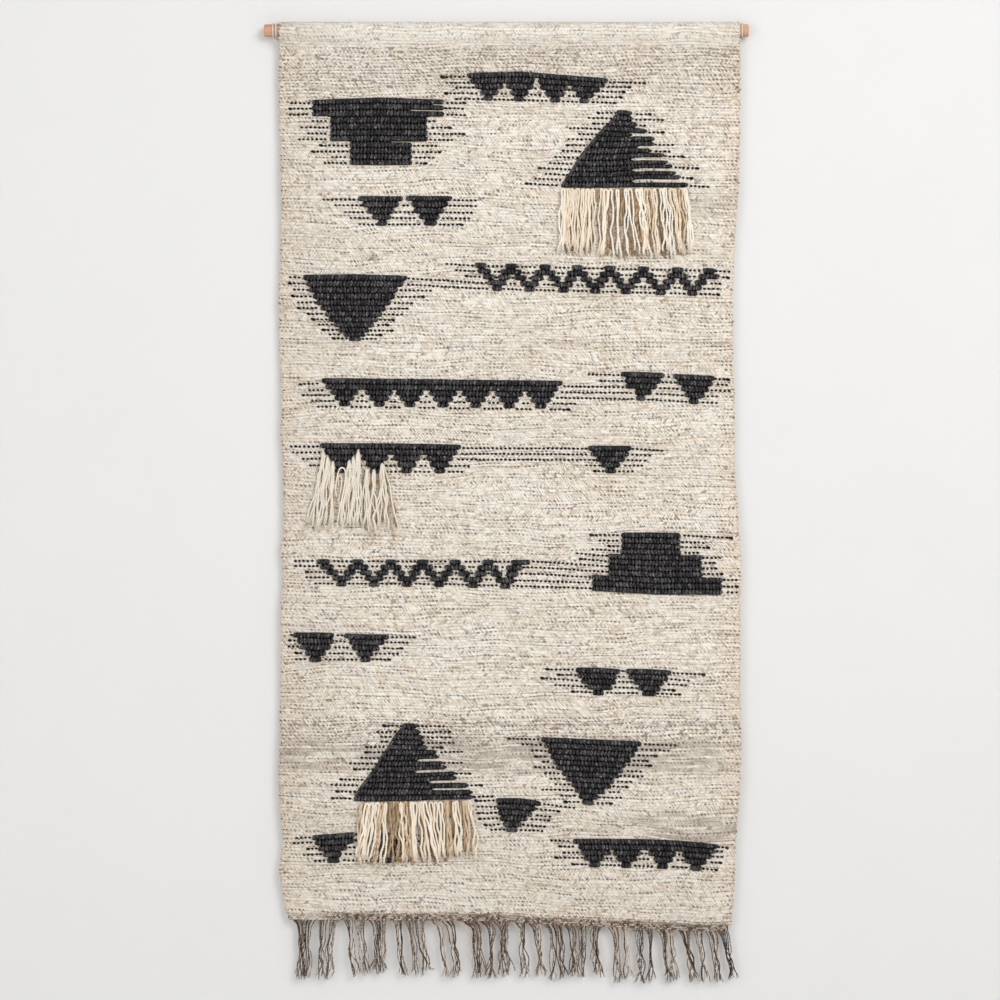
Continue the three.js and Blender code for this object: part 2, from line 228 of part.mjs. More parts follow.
    [[-300.6,-1309.6,5.2,4.8],[-274.2,-1308.1,5,5.1],[-254.2,-1308.2,4.8,4.8]],
    [[-293.4,-1318.7,4.9,4.8],[-277.4,-1318,5,5.1],[-263.8,-1318.3,5.2,4.8]],
    [[-287,-1328.5,5.2,4.8],[-277.4,-1327.9,5.1,4.8],[-267,-1328.4,5.2,4.8]],
  ],
  motif_pair_bottom_b: [
    [[-226.2,-1286.5,4.8,4.8],[-157.4,-1288.4,4.8,4.8]], [[-220.6,-1296.3,4.9,4.8],[-192.6,-1296.7,4.8,4.8],[-163.8,-1297,4.5,4.8]],
    [[-215,-1307.5,4.8,4.8],[-168.6,-1307.5,4.8,4.8]], [[-207,-1318.1,4.8,4.8],[-176.6,-1318,5.3,4.8]],
    [[-199.8,-1328.6,5.4,4.8],[-183.8,-1328.5,5.4,4.8]],
  ],
  motif_bunting_lower: [
    [[106.6,-1297.7,4.8,4.8],[213.8,-1298,4.8,4.8],[277.8,-1300.2,4.8,4.9],[337,-1306.3,4.8,4.8]],
    [[114.6,-1306.2,4.4,4.8],[149.8,-1307,4.7,4.7],[213.8,-1307.3,4.8,4.8],[277.8,-1309.8,4.9,4.8],[334.6,-1313.3,3.7,4.8]],
    [[118.6,-1315.7,4.8,4.8],[167.4,-1316.2,4.7,4.8]], [[169.8,-1316.3,4.7,4.8],[215.4,-1316.8,4.8,4.8]],
    [[226.6,-1317.1,4.8,4.8],[271.4,-1318.3,4.5,4.8]], [[281,-1318.7,4.5,4.8],[329,-1321.9,4.6,4.8]],
    [[124.2,-1324.3,4.4,4.8],[157,-1324.8,4.5,4.8]], [[175.4,-1325.2,4.5,4.8],[209.8,-1325.8,4.7,4.8]],
    [[235.4,-1326.4,4.7,4.8],[266.6,-1327.2,4.6,4.8]], [[284.2,-1327.9,4.6,4.8],[321,-1330.5,4.7,4.8]],
    [[132.2,-1335,4.8,4.8],[150.6,-1335.5,4.8,4.8]], [[183.4,-1336.3,4.8,4.8],[200.2,-1336.7,4.8,4.8]],
    [[241,-1337.7,4.8,4.8],[258.6,-1338.2,4.8,4.8]], [[293.8,-1339.9,4.8,4.8],[312.2,-1341.3,4.8,4.8]],
  ],};

// free cream fringes: top edge z, x at the top, x at the bottom, ragged lower outline [x, z]
const FRINGES = {
  cream_fringe_upper: { zTop: -255.2, x: [81, 294], low: [[75,-352],[92,-364],[150,-368],[205,-371],[262,-362],[290,-368],[305,-356]] },
  cream_fringe_mid:   { zTop: -681,   x: [-295,-184.6], low: [[-320.6,-780],[-300,-800],[-262,-806],[-222,-812],[-196,-806],[-172.6,-790]] },
  cream_fringe_lower: { zTop: -1236,  x: [-239.6,-50.2], low: [[-244,-1326],[-215,-1337],[-150,-1332],[-92,-1334],[-60,-1322],[-38,-1312]] },
};

// warp-end tassels under the bottom band: x at the top, x at the end, z of the end
const TASSELS = [
  [-336.6,-315.8,-333.4,-310.4,-1516], [-298.2,-269.4,-301.4,-282.2,-1516], [-256.6,-229.4,-247.2,-219.4,-1511],
  [-215,-191,-213.4,-197.4,-1507], [-178,-169,-170.2,-160.6,-1513], [-157.4,-135,-146.2,-120.6,-1510],
  [-104.6,-80.6,-98.2,-72.6,-1516], [-58.2,-42.2,-48.6,-35.8,-1515], [-29.4,-19.8,-31,-19.8,-1515],
  [-10.2,1,-13.4,9,-1513], [21.8,28.2,18.6,36.2,-1513], [45.8,58.6,50.6,63.4,-1511], [69.8,87.4,71.4,95.4,-1522],
  [100.2,127.4,103.4,125.8,-1512], [133.8,146.6,138.6,157.8,-1513], [170.6,193,169,201,-1522], [210.6,215.4,209,220.2,-1522],
  [229.8,233,228.2,232.2,-1521], [247.4,266.6,255.4,274.6,-1521], [281,295.4,295.4,306.6,-1521], [306.6,311.4,313,322.6,-1522],
  [327.4,354.6,330.6,368.8,-1518],
];
const TASSEL_AXIS_DROP = 1.0;     // tassels start this far under the band

// ---------------------------------------------------------------- materials
const mat = (color, roughness, metalness = 0) => new THREE.MeshStandardMaterial({ color, roughness, metalness });
const WOOD = mat(0xd2a27e, 0.6);
const GROUND = mat(0xd8cbb9, 0.95);
const WOOL = mat(0x3a3839, 0.98);
const CREAM = mat(0xe6d8c2, 0.95);
const TAUPE = mat(0x8c7c6e, 0.95);
const COTTON = mat(0xf2efe8, 0.9);

// ---------------------------------------------------------------- helpers
const group = new THREE.Group();
function add(name, geometry, material, x = 0, y = 0, z = 0) {
  const mesh = new THREE.Mesh(geometry, material);
  mesh.name = name;
  mesh.position.set(x, y, z);
  group.add(mesh);
  return mesh;
}

// closed prism: outline in the X-Z plane, from y0 (face side) to y1 (wall side)
function prismXZ(points, y0, y1) {
  const pts = THREE.ShapeUtils.area(points.map(([x, z]) => new THREE.Vector2(x, z))) < 0 ? points.slice().reverse() : points;
  const shape = new THREE.Shape(pts.map(([x, z]) => new THREE.Vector2(x, z)));
  const g = new THREE.ExtrudeGeometry(shape, { depth: y1 - y0, bevelEnabled: false, steps: 1 });
  g.rotateX(Math.PI / 2);
  g.translate(0, y1, 0);
  return g;
}

// closed prism: outline in the Y-Z plane, from x0 to x1, with optional holes
function prismYZ(points, holes, x0, x1) {
  const shape = new THREE.Shape(points.map(([y, z]) => new THREE.Vector2(y, z)));
  for (const h of holes) shape.holes.push(new THREE.Path(h.map(([y, z]) => new THREE.Vector2(y, z))));
  const g = new THREE.ExtrudeGeometry(shape, { depth: x1 - x0, bevelEnabled: false, steps: 1 });
  // local x -> +Y, local y -> +Z, local z -> +X
  g.applyMatrix4(new THREE.Matrix4().makeBasis(new THREE.Vector3(0, 1, 0), new THREE.Vector3(0, 0, 1), new THREE.Vector3(1, 0, 0)));
  g.translate(x0, 0, 0);
  return g;
}

function toManifold(geometry) {
  const g = geometry.clone();
  g.deleteAttribute('normal');
  g.deleteAttribute('uv');
  const m = BufferGeometryUtils.mergeVertices(g, 1e-4);
  const triVerts = new Uint32Array(m.index.array);
  const vertProperties = new Float32Array(m.attributes.position.array);
  return new wasm.Manifold(new wasm.Mesh({ numProp: 3, vertProperties, triVerts }));
}

function fromManifold(solid) {
  const mesh = solid.getMesh();
  const g = new THREE.BufferGeometry();
  g.setAttribute('position', new THREE.BufferAttribute(new Float32Array(mesh.vertProperties), 3));
  g.setIndex(new THREE.BufferAttribute(new Uint32Array(mesh.triVerts), 1));
  g.computeVertexNormals();
  return g;
}

// one row of wool as a closed band around its centre line
function runOutline(run) {
  const top = run.map(([x, z, up]) => [x, z + up]);
  const low = run.map(([x, z, , down]) => [x, z - down]).reverse();
  return top.concat(low);
}

// z of the band's lower edge at x
function bottomAt(x) {
  for (let i = 1; i < BOTTOM.length; i++) {
    const [xa, za] = BOTTOM[i - 1], [xb, zb] = BOTTOM[i];
    if (x <= xb) return za + (zb - za) * Math.max(0, x - xa) / (xb - xa);
  }
  return BOTTOM[BOTTOM.length - 1][1];
}

// ---------------------------------------------------------------- dowel
{
  const r = ROD_D / 2, l = ROD_L / 2, c = ROD_CHAMFER;
  const profile = [[0, -l], [r - c, -l], [r, -l + c], [r, l - c], [r - c, l], [0, l]].map(([a, b]) => new THREE.Vector2(a, b));
  const g = new THREE.LatheGeometry(profile, 40);
  g.rotateZ(-Math.PI / 2);
  add('dowel_rod', g, WOOD);
}

// ---------------------------------------------------------------- rod pocket: the cloth folded round the dowel
{
  const outer = [], n = 26;
  // from the neck's front corner up over the dowel to the neck's back corner
  outer.push([-NECK_Y, SEAM_Z]);
  outer.push([-NECK_Y - 1.2, SEAM_Z + 5]);
  for (let i = 0; i <= n; i++) {
    const a = (205 + (-25 - 205) * i / n) * Math.PI / 180;
    outer.push([POCKET_R * Math.cos(a), POCKET_R * Math.sin(a)]);
  }
  outer.push([NECK_Y + 1.2, SEAM_Z + 5]);
  outer.push([NECK_Y, SEAM_Z]);
  const bore = [];
  for (let i = 0; i < 28; i++) {
    const a = i / 28 * Math.PI * 2;
    bore.push([BORE_R / Math.cos(Math.PI / 28) * Math.cos(a), BORE_R / Math.cos(Math.PI / 28) * Math.sin(a)]);
  }
  add('rod_pocket', prismYZ(outer.reverse(), [bore], POCKET_X0, POCKET_X1), GROUND);
  // running stitches that close the pocket, along its face
  add('pocket_stitching', prismXZ([[POCKET_X0 + 3, SEAM_Z + 1.4], [POCKET_X1 - 3, SEAM_Z + 1.4], [POCKET_X1 - 3, SEAM_Z + 3], [POCKET_X0 + 3, SEAM_Z + 3]], -NECK_Y - 2.2, -NECK_Y - 1.2), COTTON);
}

// ---------------------------------------------------------------- hanging cord and its turns round the rod ends
function hitch(name, x) {
  const r = CORD_D / 2, mid = BORE_R + r, h = HITCH_PITCH / 2, pts = [];
  // two round turns side by side, joined by a thin web at the dowel
  const arc = (cx, a0, a1, n) => {
    for (let i = 0; i <= n; i++) {
      const a = (a0 + (a1 - a0) * i / n) * Math.PI / 180;
      pts.push(new THREE.Vector2(mid + r * Math.sin(a), cx + r * Math.cos(a)));
    }
  };
  arc(-h, 180, -30 + 60, 5);
  arc(h, 150, 0, 5);
  pts.push(new THREE.Vector2(BORE_R, h + 0.6));
  pts.push(new THREE.Vector2(BORE_R, -h - 0.6));
  pts.push(pts[0].clone());
  const g = new THREE.LatheGeometry(pts, 20);
  g.rotateZ(-Math.PI / 2);
  add(name, g, COTTON, x);
}
hitch('cord_hitch_left', HITCH_L_X);
hitch('cord_hitch_right', HITCH_R_X);
{
  const pts = [], n = 24, y0 = 10.6, z0 = -10.6;
  for (let i = 0; i <= n; i++) {
    const t = i / n, u = 2 * t - 1;
    pts.push(new THREE.Vector3(HITCH_L_X + (HITCH_R_X - HITCH_L_X) * t, 7.4 + (y0 - 7.4) * Math.pow(Math.abs(u), 8), z0 - CORD_SAG * (1 - u * u)));
  }
  const section = new THREE.Shape();
  for (let i = 0; i < 8; i++) {
    const a = i / 8 * Math.PI * 2;
    if (i === 0) section.moveTo(CORD_D / 2, 0); else section.lineTo(CORD_D / 2 * Math.cos(a), CORD_D / 2 * Math.sin(a));
  }
  section.closePath();
  const g = new THREE.ExtrudeGeometry(section, { steps: 76, bevelEnabled: false, extrudePath: new THREE.CatmullRomCurve3(pts) });
  add('hanging_cord', g, COTTON);
}

// ---------------------------------------------------------------- woven ground, in two lengths that meet at the fold
function edgeAt(z) {
  for (let i = 1; i < EDGES.length; i++) {
    const a = EDGES[i - 1], b = EDGES[i];
    if (z >= b[0]) {
      const t = (z - a[0]) / (b[0] - a[0]);
      return [a[1] + (b[1] - a[1]) * t, a[2] + (b[2] - a[2]) * t];
    }
  }
  return EDGES[EDGES.length - 1].slice(1);
}
function panelOutline(zTop, zLow, closeBottom) {
  const left = [[edgeAt(zTop)[0], zTop]], right = [[edgeAt(zTop)[1], zTop]];
  for (const [z, l, r] of EDGES) if (z < zTop - 4 && z > zLow + 4) { left.push([l, z]); right.push([r, z]); }
  if (closeBottom) {
    const low = BOTTOM.map(([x, z]) => [x, z + BAND_H + 0.3]);
    return left.concat(low, right.reverse());
  }
  left.push([edgeAt(zLow)[0], zLow]);
  right.push([edgeAt(zLow)[1], zLow]);
  return left.concat(right.reverse());
}
add('cloth_upper', prismXZ(panelOutline(SEAM_Z - 0.6, FOLD_Z + 0.4, false), -CLOTH_T / 2, CLOTH_T / 2), GROUND);
add('cloth_lower', prismXZ(panelOutline(FOLD_Z - 0.4, -1413.5, true), -CLOTH_T / 2, CLOTH_T / 2), GROUND);
add('twined_edge_band', prismXZ(BOTTOM.map(([x, z]) => [x, z + BAND_H]).concat(BOTTOM.slice().reverse()), -BAND_Y, BAND_Y), TAUPE);

// ---------------------------------------------------------------- wool motifs, thick rows standing on the face
function zAt(run, x) {
  for (let i = 1; i < run.length; i++) {
    const [xa, za] = run[i - 1], [xb, zb] = run[i];
    if (x <= xb) return za + (zb - za) * (x - xa) / (xb - xa);
  }
  return run[run.length - 1][1];
}
for (const [name, runs] of Object.entries(MOTIFS)) {
  let solid = null;
  for (const run of runs) {
    const piece = toManifold(prismXZ(runOutline(run), MOTIF_Y0, MOTIF_Y1));
    solid = solid ? solid.add(piece) : piece;
  }
  // rows that only lie close to each other are tied by a short wrapped stitch
  const pairs = [];
  for (let i = 0; i < runs.length; i++) for (let j = i + 1; j < runs.length; j++) {
    const xa = Math.max(runs[i][0][0], runs[j][0][0]), xb = Math.min(runs[i][runs[i].length - 1][0], runs[j][runs[j].length - 1][0]);
    if (xb - xa < 1) continue;
    const x = (xa + xb) / 2, za = zAt(runs[i], x), zb = zAt(runs[j], x);
    pairs.push([Math.abs(za - zb), x, Math.max(za, zb), Math.min(za, zb), Math.min(3.2, xb - xa)]);
  }
  pairs.sort((a, b) => a[0] - b[0]);
  for (const [gap, x, zHigh, zLow, w] of pairs) {
    const bodies = solid.decompose();
    if (bodies.length === 1) break;
    if (gap > MAX_TIE) break;
    const tie = toManifold(prismXZ([[x - w / 2, zHigh], [x + w / 2, zHigh], [x + w / 2, zLow], [x - w / 2, zLow]], MOTIF_Y0 + 0.6, MOTIF_Y1));
    const joined = solid.add(tie);
    if (joined.decompose().length < bodies.length) solid = joined;
  }
  add(name, fromManifold(solid), WOOL);
}

// ---------------------------------------------------------------- cream fringes: strands of yarn hanging free on the face
for (const [name, f] of Object.entries(FRINGES)) {
  const zLow = Math.min(...f.low.map(([, z]) => z)) - 5;
  const section = [
    [FRINGE_BACK, f.zTop], [FRINGE_BACK, zLow], [FRINGE_FRONT, zLow],
    [FRINGE_FRONT, f.zTop - 30], [FRINGE_TOP_FRONT, f.zTop],
  ];
  const slab = toManifold(prismYZ(section.reverse(), [], -400, 400));
  const outline = toManifold(prismXZ([[f.x[0], f.zTop + 5], [f.x[0], f.zTop - 4], ...f.low, [f.x[1], f.zTop - 4], [f.x[1], f.zTop + 5]], -20, 0));
  add(name, fromManifold(slab.intersect(outline)), CREAM);
}

// ---------------------------------------------------------------- tassels: bunches of warp ends under the band
TASSELS.forEach(([x0, x1, x2, x3, zEnd], k) => {
  const n = 8, stations = 4, pos = [], idx = [];
  const zTop = Math.min(bottomAt(x0), bottomAt(x1)) - TASSEL_AXIS_DROP;
  for (let s = 0; s <= stations; s++) {
    const t = s / stations, e = t * t * (3 - 2 * t);
    const l = x0 + (x2 - x0) * e, r = x1 + (x3 - x1) * e, z = zTop + (zEnd - zTop) * t;
    const pinch = 1 - 0.18 * Math.sin(Math.PI * t);
    const hw = Math.max(1.2, (r - l) / 2 * pinch), cx = (l + r) / 2, hy = (TASSEL_T_TOP + (TASSEL_T_END - TASSEL_T_TOP) * t) / 2;
    for (let i = 0; i < n; i++) {
      const a = i / n * Math.PI * 2;
      pos.push(cx + hw * Math.cos(a), hy * Math.sin(a), z);
    }
  }
  for (let s = 0; s < stations; s++) for (let i = 0; i < n; i++) {
    const a = s * n + i, b = s * n + (i + 1) % n, c = a + n, d = b + n;
    idx.push(a, c, b, b, c, d);
  }
  for (let i = 1; i < n - 1; i++) {
    idx.push(0, i, i + 1);
    idx.push(stations * n, stations * n + i + 1, stations * n + i);
  }
  const g = new THREE.BufferGeometry();
  g.setAttribute('position', new THREE.Float32BufferAttribute(pos, 3));
  g.setIndex(idx);
  g.computeVertexNormals();
  add(`tassel_${String(k + 1).padStart(2, '0')}`, g, TAUPE);
});

export default group;
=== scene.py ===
# Tapestry wall hanging: the looks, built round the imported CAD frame.
# Metres in the scene, millimetres in the tables. The face of the cloth looks towards -Y.
import bpy, math
import numpy as np
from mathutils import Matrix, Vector


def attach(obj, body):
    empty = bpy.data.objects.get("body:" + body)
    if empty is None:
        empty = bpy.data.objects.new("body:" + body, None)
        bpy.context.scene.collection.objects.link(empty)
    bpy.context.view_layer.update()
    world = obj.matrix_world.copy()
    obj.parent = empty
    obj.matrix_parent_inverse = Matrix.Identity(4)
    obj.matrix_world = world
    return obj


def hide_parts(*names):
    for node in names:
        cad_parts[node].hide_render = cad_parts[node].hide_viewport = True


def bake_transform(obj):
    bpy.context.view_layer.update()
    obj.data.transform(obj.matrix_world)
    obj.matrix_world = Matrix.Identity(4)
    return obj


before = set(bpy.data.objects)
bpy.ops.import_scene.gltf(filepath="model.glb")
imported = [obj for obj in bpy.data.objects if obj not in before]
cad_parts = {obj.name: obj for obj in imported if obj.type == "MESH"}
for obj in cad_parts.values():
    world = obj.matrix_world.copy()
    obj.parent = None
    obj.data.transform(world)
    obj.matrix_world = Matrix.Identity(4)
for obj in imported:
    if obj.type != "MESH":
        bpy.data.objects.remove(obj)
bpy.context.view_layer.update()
MM = 0.001
rng = np.random.RandomState(7)

LINES = [
 ([(-362.2,-116.2),(-311,-116.2),(-205.4,-112.1),(-99.8,-115.6),(-42.2,-116.6)],-346.2,-64.6,[(-311,-99.8,0)]),
 ([(-362.2,-125.2),(-311,-125.2),(-205.4,-122),(-99.8,-124.6),(-42.2,-125.5)],-347.8,-67.8,[(-311,-99.8,0)]),
 ([(-362.2,-134.5),(-311,-134.5),(-205.4,-133.2),(-99.8,-134.8),(-42.2,-135.8)],-347.8,-59.8,[(-311,-99.8,0)]),
 ([(-362.2,-145),(-282.2,-145),(-204.2,-144.1),(-126.2,-145.4),(-42.2,-146.3)],-311.6,-114.2,[(-282.2,-126.2,0)]),
 ([(-362.2,-155.3),(-282.2,-155.3),(-204.2,-154),(-126.2,-155.3),(-42.2,-156.2)],-329,-85.4,[(-282.2,-126.2,0)]),
 ([(-362.2,-164.9),(-282.2,-164.9),(-204.2,-163.9),(-126.2,-165.2),(-42.2,-166.2)],-319,-64.6,[(-282.2,-126.2,0)]),
 ([(-362.2,-174.2),(-282.2,-174.2),(-204.2,-173.7),(-126.2,-174.8),(-42.2,-175.8)],-333.7,-85.4,[(-282.2,-126.2,0)]),
 ([(-362.2,-184.2),(-251,-184.2),(-201,-183.8),(-151,-184.4),(-42.2,-185.4)],-298.8,-111,[(-251,-151,0)]),
 ([(-362.2,-193.8),(-251,-193.8),(-201,-193.5),(-151,-194.2),(-42.2,-195.1)],-311.6,-103.6,[(-251,-151,0)]),
 ([(-362.2,-202.6),(-251,-202.6),(-201,-202.6),(-151,-203.3),(-42.2,-204.2)],-280.6,-109.4,[(-251,-151,0)]),
 ([(-362.2,-211.8),(-251,-211.8),(-201,-212.6),(-151,-212.2),(-42.2,-213.2)],-292.4,-122.2,[(-251,-151,0)]),
 ([(-104.6,-74.6),(-63,-73.8),(21.8,-71.4),(162.6,-82.6),(221.8,-84.2)],-104.6,221.8,[(-63,162.6,1)]),
 ([(-104.6,-84.2),(-63,-83.4),(21.8,-81),(162.6,-89.8),(221.8,-91.4)],-96.6,202.6,[(-57.4,45.8,1),(50.6,157.8,1)]),
 ([(-104.6,-92.2),(-63,-91.4),(21.8,-91.4),(162.6,-97.8),(221.8,-99.4)],-82.2,190.6,[(-50.2,-4.6,1),(0.2,43.4,1),(53.8,97.8,1),(103.4,149.8,1)]),
 ([(-104.6,-101),(-63,-100.2),(21.8,-101.8),(162.6,-106.6),(221.8,-108.2)],-98.2,186.6,[(-42.2,-12.6,1),(6.6,35.4,1),(61.8,93,1),(110.6,140.2,1)]),
 ([(-104.6,-110.2),(-63,-109.4),(21.8,-111.4),(162.6,-115.6),(221.8,-117.2)],-82.2,178.6,[(-35.8,-21.4,1),(12.2,27.4,1),(69.8,85.8,1),(117,132.2,1)]),
 ([(29.8,-131.5),(129,-131.7),(185,-132.2),(203.4,-134),(329,-135.2)],144.2,234.2,[(177,201.5,2)]),
 ([(29.8,-139.5),(129,-139.9),(185,-141),(203,-142.6),(329,-144.2)],130.6,252.2,[(171,203.5,2)]),
 ([(29.8,-148.2),(129,-148.7),(185,-149.5),(210,-151.8),(329,-153.4)],138.6,228.2,[(164,210,2)]),
 ([(29.8,-155.8),(100,-156.2),(160,-157.4),(200,-160.5),(225.8,-162.8),(329,-163.3)],100.2,252.2,[(155,225.8,2)]),
 ([(29.8,-165),(114,-165.5),(150,-166.2),(201,-168.5)],114.6,201.5,[(147.5,201.5,2)]),
 ([(29.8,-173.4),(140.2,-174.3),(165.8,-174.3),(221.8,-173.8),(237.2,-174.5),(329,-175.1)],97,242.6,[(140.2,237.2,2)]),
 ([(29.8,-182.8),(132.2,-183.8),(165.8,-183.8),(221.8,-182.2),(237.2,-182.8),(329,-183.4)],96.4,270.8,[(132.2,237.2,2)]),
 ([(29.8,-190),(124.2,-193.5),(165.8,-193.5),(221.8,-192.4),(233,-193),(329,-195.9)],88.2,263.4,[(124.2,233,2)]),
 ([(29.8,-200.4),(116.2,-203.9),(165.8,-203.9),(221.8,-200.4),(252.6,-201),(329,-203.9)],76.2,288.2,[(116.2,252.6,2)]),
 ([(29.8,-210.3),(110.6,-213.8),(165.8,-213.8),(221.8,-211.3),(258.6,-211.9),(329,-214.8)],67.8,258.6,[(110.6,258.6,2)]),
 ([(29.8,-219.1),(105,-222.6),(165.8,-222.6),(221.8,-218),(265.7,-218.6),(329,-221.5)],51.4,309.8,[(105,265.7,2)]),
 ([(29.8,-227.6),(100.2,-231.1),(165.8,-231.1),(221.8,-228.6),(271.4,-229.2),(329,-232.1)],61.8,271.4,[(100.2,271.4,2)]),
 ([(29.8,-235.9),(93.8,-239.4),(165.8,-239.4),(221.8,-235),(279.4,-235.6),(329,-238.5)],44.2,304.6,[(93.8,279.4,2)]),
 ([(29.8,-244.7),(88.2,-248.2),(165.8,-248.2),(221.8,-247.4),(290.6,-248.1),(329,-251)],31,327,[(88.2,290.6,2)]),
 ([(-298.2,-270.6),(-199,-270.6),(-122.2,-271.1),(-42.2,-271.9)],-294.2,-42.2,[(-237.4,-165.4,3),(-160.6,-87,4)]),
 ([(-298.2,-279.8),(-199,-279.8),(-122.2,-280.2),(-42.2,-281)],-275,-47,[(-231,-171.8,3),(-152.6,-93.4,4)]),
 ([(-298.2,-290.8),(-199,-290.8),(-122.2,-291.3),(-42.2,-292.1)],-259.8,-53.4,[(-223,-179.8,3),(-147.8,-99.8,4)]),
 ([(-298.2,-299.9),(-199,-299.9),(-122.2,-300.4),(-42.2,-301.2)],-251,-53.4,[(-215,-184.6,3),(-139.8,-106.8,4)]),
 ([(-298.2,-310.2),(-199,-310.2),(-122.2,-310.6),(-42.2,-311.4)],-237.4,-64.6,[(-206,-191,3),(-131.8,-111,4)]),
 ([(-96.6,-373.8),(-42.2,-376.7),(362.6,-385.7)],-96.6,362.6,[(-50.6,-32.1,6),(-1.8,16.7,6),(52.9,71.4,6),(104.7,123.3,6),(156.6,175.1,6),(209.8,228.4,6),(264.6,283.1,6),(315,333.5,6)]),
 ([(-83.8,-383.4),(-42.2,-385.7),(359.4,-395.4)],-82.6,359.4,[(-46.2,-24.4,6),(-9.5,24.4,6),(45.2,79.1,6),(97,131,6),(148.9,182.8,6),(202.2,236.1,6),(256.9,290.8,6),(307.3,341.2,6)]),
 ([(-66.2,-393),(-42.2,-394.6),(349.8,-405.2)],-66.2,349.2,[(-37.9,-18.1,6),(-13.5,6.3,6),(12.3,32.2,6),(39.7,59.5,6),(67,86.9,6),(93,112.8,6),(118.2,138,6),(144.1,163.9,6),(168.5,188.3,6),(195.1,215,6),(223.2,243,6),(250.6,270.4,6),(275.8,295.6,6),(301,320.8,6)]),
 ([(-349.4,-394.6),(-325.4,-395),(-242.2,-394),(-159,-396.6),(-42.2,-403.9),(340.2,-413.8)],-348.7,340.2,[(-325.4,-159,5),(-30,0.7,6),(21.7,52.4,6),(76.4,107.1,6),(126.8,157.5,6),(175.6,206.3,6),(231.8,262.5,6),(282.2,312.9,6)]),
 ([(-349.4,-404.6),(-320.6,-405.2),(-165.4,-406.2),(-42.2,-413),(343.4,-422.5)],-348.7,343.4,[(-320.6,-164.6,5),(-23,-6.3,6),(28.7,45.4,6),(83.4,100.1,6),(133.8,150.5,6),(182.6,199.3,6),(238.8,255.4,6),(289.2,305.8,6)]),
 ([(-354.2,-414.6),(-315.8,-415),(-173.4,-415.6),(-114.2,-416.6)],-342,-119.8,[(-315.8,-173.4,5)]),
 ([(-354.2,-425),(-309.4,-425.4),(-178.2,-426),(-114.2,-427)],-343,-130.2,[(-309.4,-178.2,5)]),
 ([(-354.2,-435),(-303.8,-435.3),(-184.6,-435.9),(-114.2,-436.9)],-335,-144.6,[(-303.8,-184.6,5)]),
 ([(-354.2,-443.9),(-297,-444.2),(-192.6,-444.9),(-114.2,-445.8)],-334.2,-153.4,[(-297,-192.6,5)]),
 ([(-354.2,-453.5),(-290.2,-453.8),(-198.3,-454.5),(-114.2,-455.4)],-318.3,-164.6,[(-290.2,-198.3,5)]),
 ([(-354.2,-461.8),(-284.7,-462.2),(-205,-462.8),(-114.2,-463.8)],-311.6,-175,[(-284.7,-205,5)]),
 ([(-354.2,-470.3),(-276.9,-470.6),(-211.8,-471.3),(-114.2,-472.2)],-301.4,-186.2,[(-276.9,-211.8,5)]),
 ([(-354.2,-479),(-269,-479.3),(-219.8,-479.9),(-114.2,-480.9)],-295,-181.4,[(-269,-219.8,5)]),
 ([(-354.2,-486),(-260.1,-486.3),(-226.2,-487),(-114.2,-487.9)],-284.7,-197.4,[(-260.1,-226.2,5)]),
 ([(-354.2,-492.4),(-252.1,-492.7),(-233,-493.4),(-114.2,-494.3)],-279,-205.4,[(-252.1,-233,5)]),
 ([(129,-550.5),(217,-551.8),(298.6,-555.9),(359.4,-558.8)],129,358.6,[(183.1,253,8),(266.6,332.9,9)]),
 ([(148.2,-560.7),(217,-561.4),(298.6,-565),(359.4,-567.4)],149.2,359.4,[(189.8,247.4,8),(272.2,330.2,9)]),
 ([(-333.4,-566.2),(-295,-564.9),(89,-569.4),(149.8,-570.5),(217,-570.6),(298.6,-575.1),(359.4,-577)],-332.4,359.4,[(-295.6,90,7),(190.5,241,8),(279.4,324.2,9)]),
 ([(-330.2,-575),(89,-579),(217,-580.1),(298.6,-584.4),(343.4,-585.8)],-317.4,343.4,[(-290.2,83.4,7),(205.2,232.7,8),(285.8,317.8,9)]),
 ([(-328.6,-583.3),(89,-587.9),(217,-589.8),(298.6,-594.6),(343.4,-596.2)],-327.8,343.4,[(-281.4,-236.6,7),(-226.2,-181.4,7),(-177.2,-132.4,7),(-123.8,-79,7),(-71.6,-26.8,7),(-18.2,26.6,7),(32.4,77.2,7),(207.9,222.6,8),(291.6,308.2,9)]),
 ([(-312.6,-592.4),(117.8,-597.5)],-312.6,116.2,[(-275,-243,7),(-219.8,-187.8,7),(-170.8,-138.8,7),(-117.4,-85.4,7),(-65.2,-33.2,7),(-11.8,20.2,7),(38.8,70.8,7)]),
 ([(-303,-601.7),(109.8,-606.8)],-303,105,[(-267.9,-250,7),(-212.7,-194.8,7),(-163.8,-145.8,7),(-110.3,-92.4,7),(-58.2,-40.2,7),(-4.7,13.2,7),(45.8,63.8,7)]),
 ([(-346.2,-665.7),(-186.2,-666),(-74.2,-668.2),(109.8,-669.2),(199.4,-669.2),(253.8,-672.7)],-346.2,253.8,[(-298.2,-72.6,10),(130.6,199.4,11)]),
 ([(-343,-675.1),(-74.2,-677.2),(109.8,-678.2),(196.2,-678.5),(234.6,-680.4)],-343,235.4,[(-291.8,-78.2,10),(134.6,196.2,11)]),
 ([(-327,-685.2),(-74.2,-686.5),(109.8,-687.1),(189.8,-687.3),(226.6,-688.4)],-327,226.6,[(-287,-243.4,10),(-231.9,-188.4,10),(-181.4,-137.8,10),(-128.6,-85,10),(143.4,189.8,11)]),
 ([(-315.8,-695.8),(-55,-697)],-315.8,-55,[(-280.6,-249.8,10),(-225.5,-194.8,10),(-175,-144.2,10),(-122.2,-91.4,10)]),
 ([(-298.2,-705.5),(-67.8,-706.3)],-301.4,-67.8,[(-274,-256.4,10),(-219,-201.4,10),(-168.4,-150.8,10),(-115.6,-98,10)]),
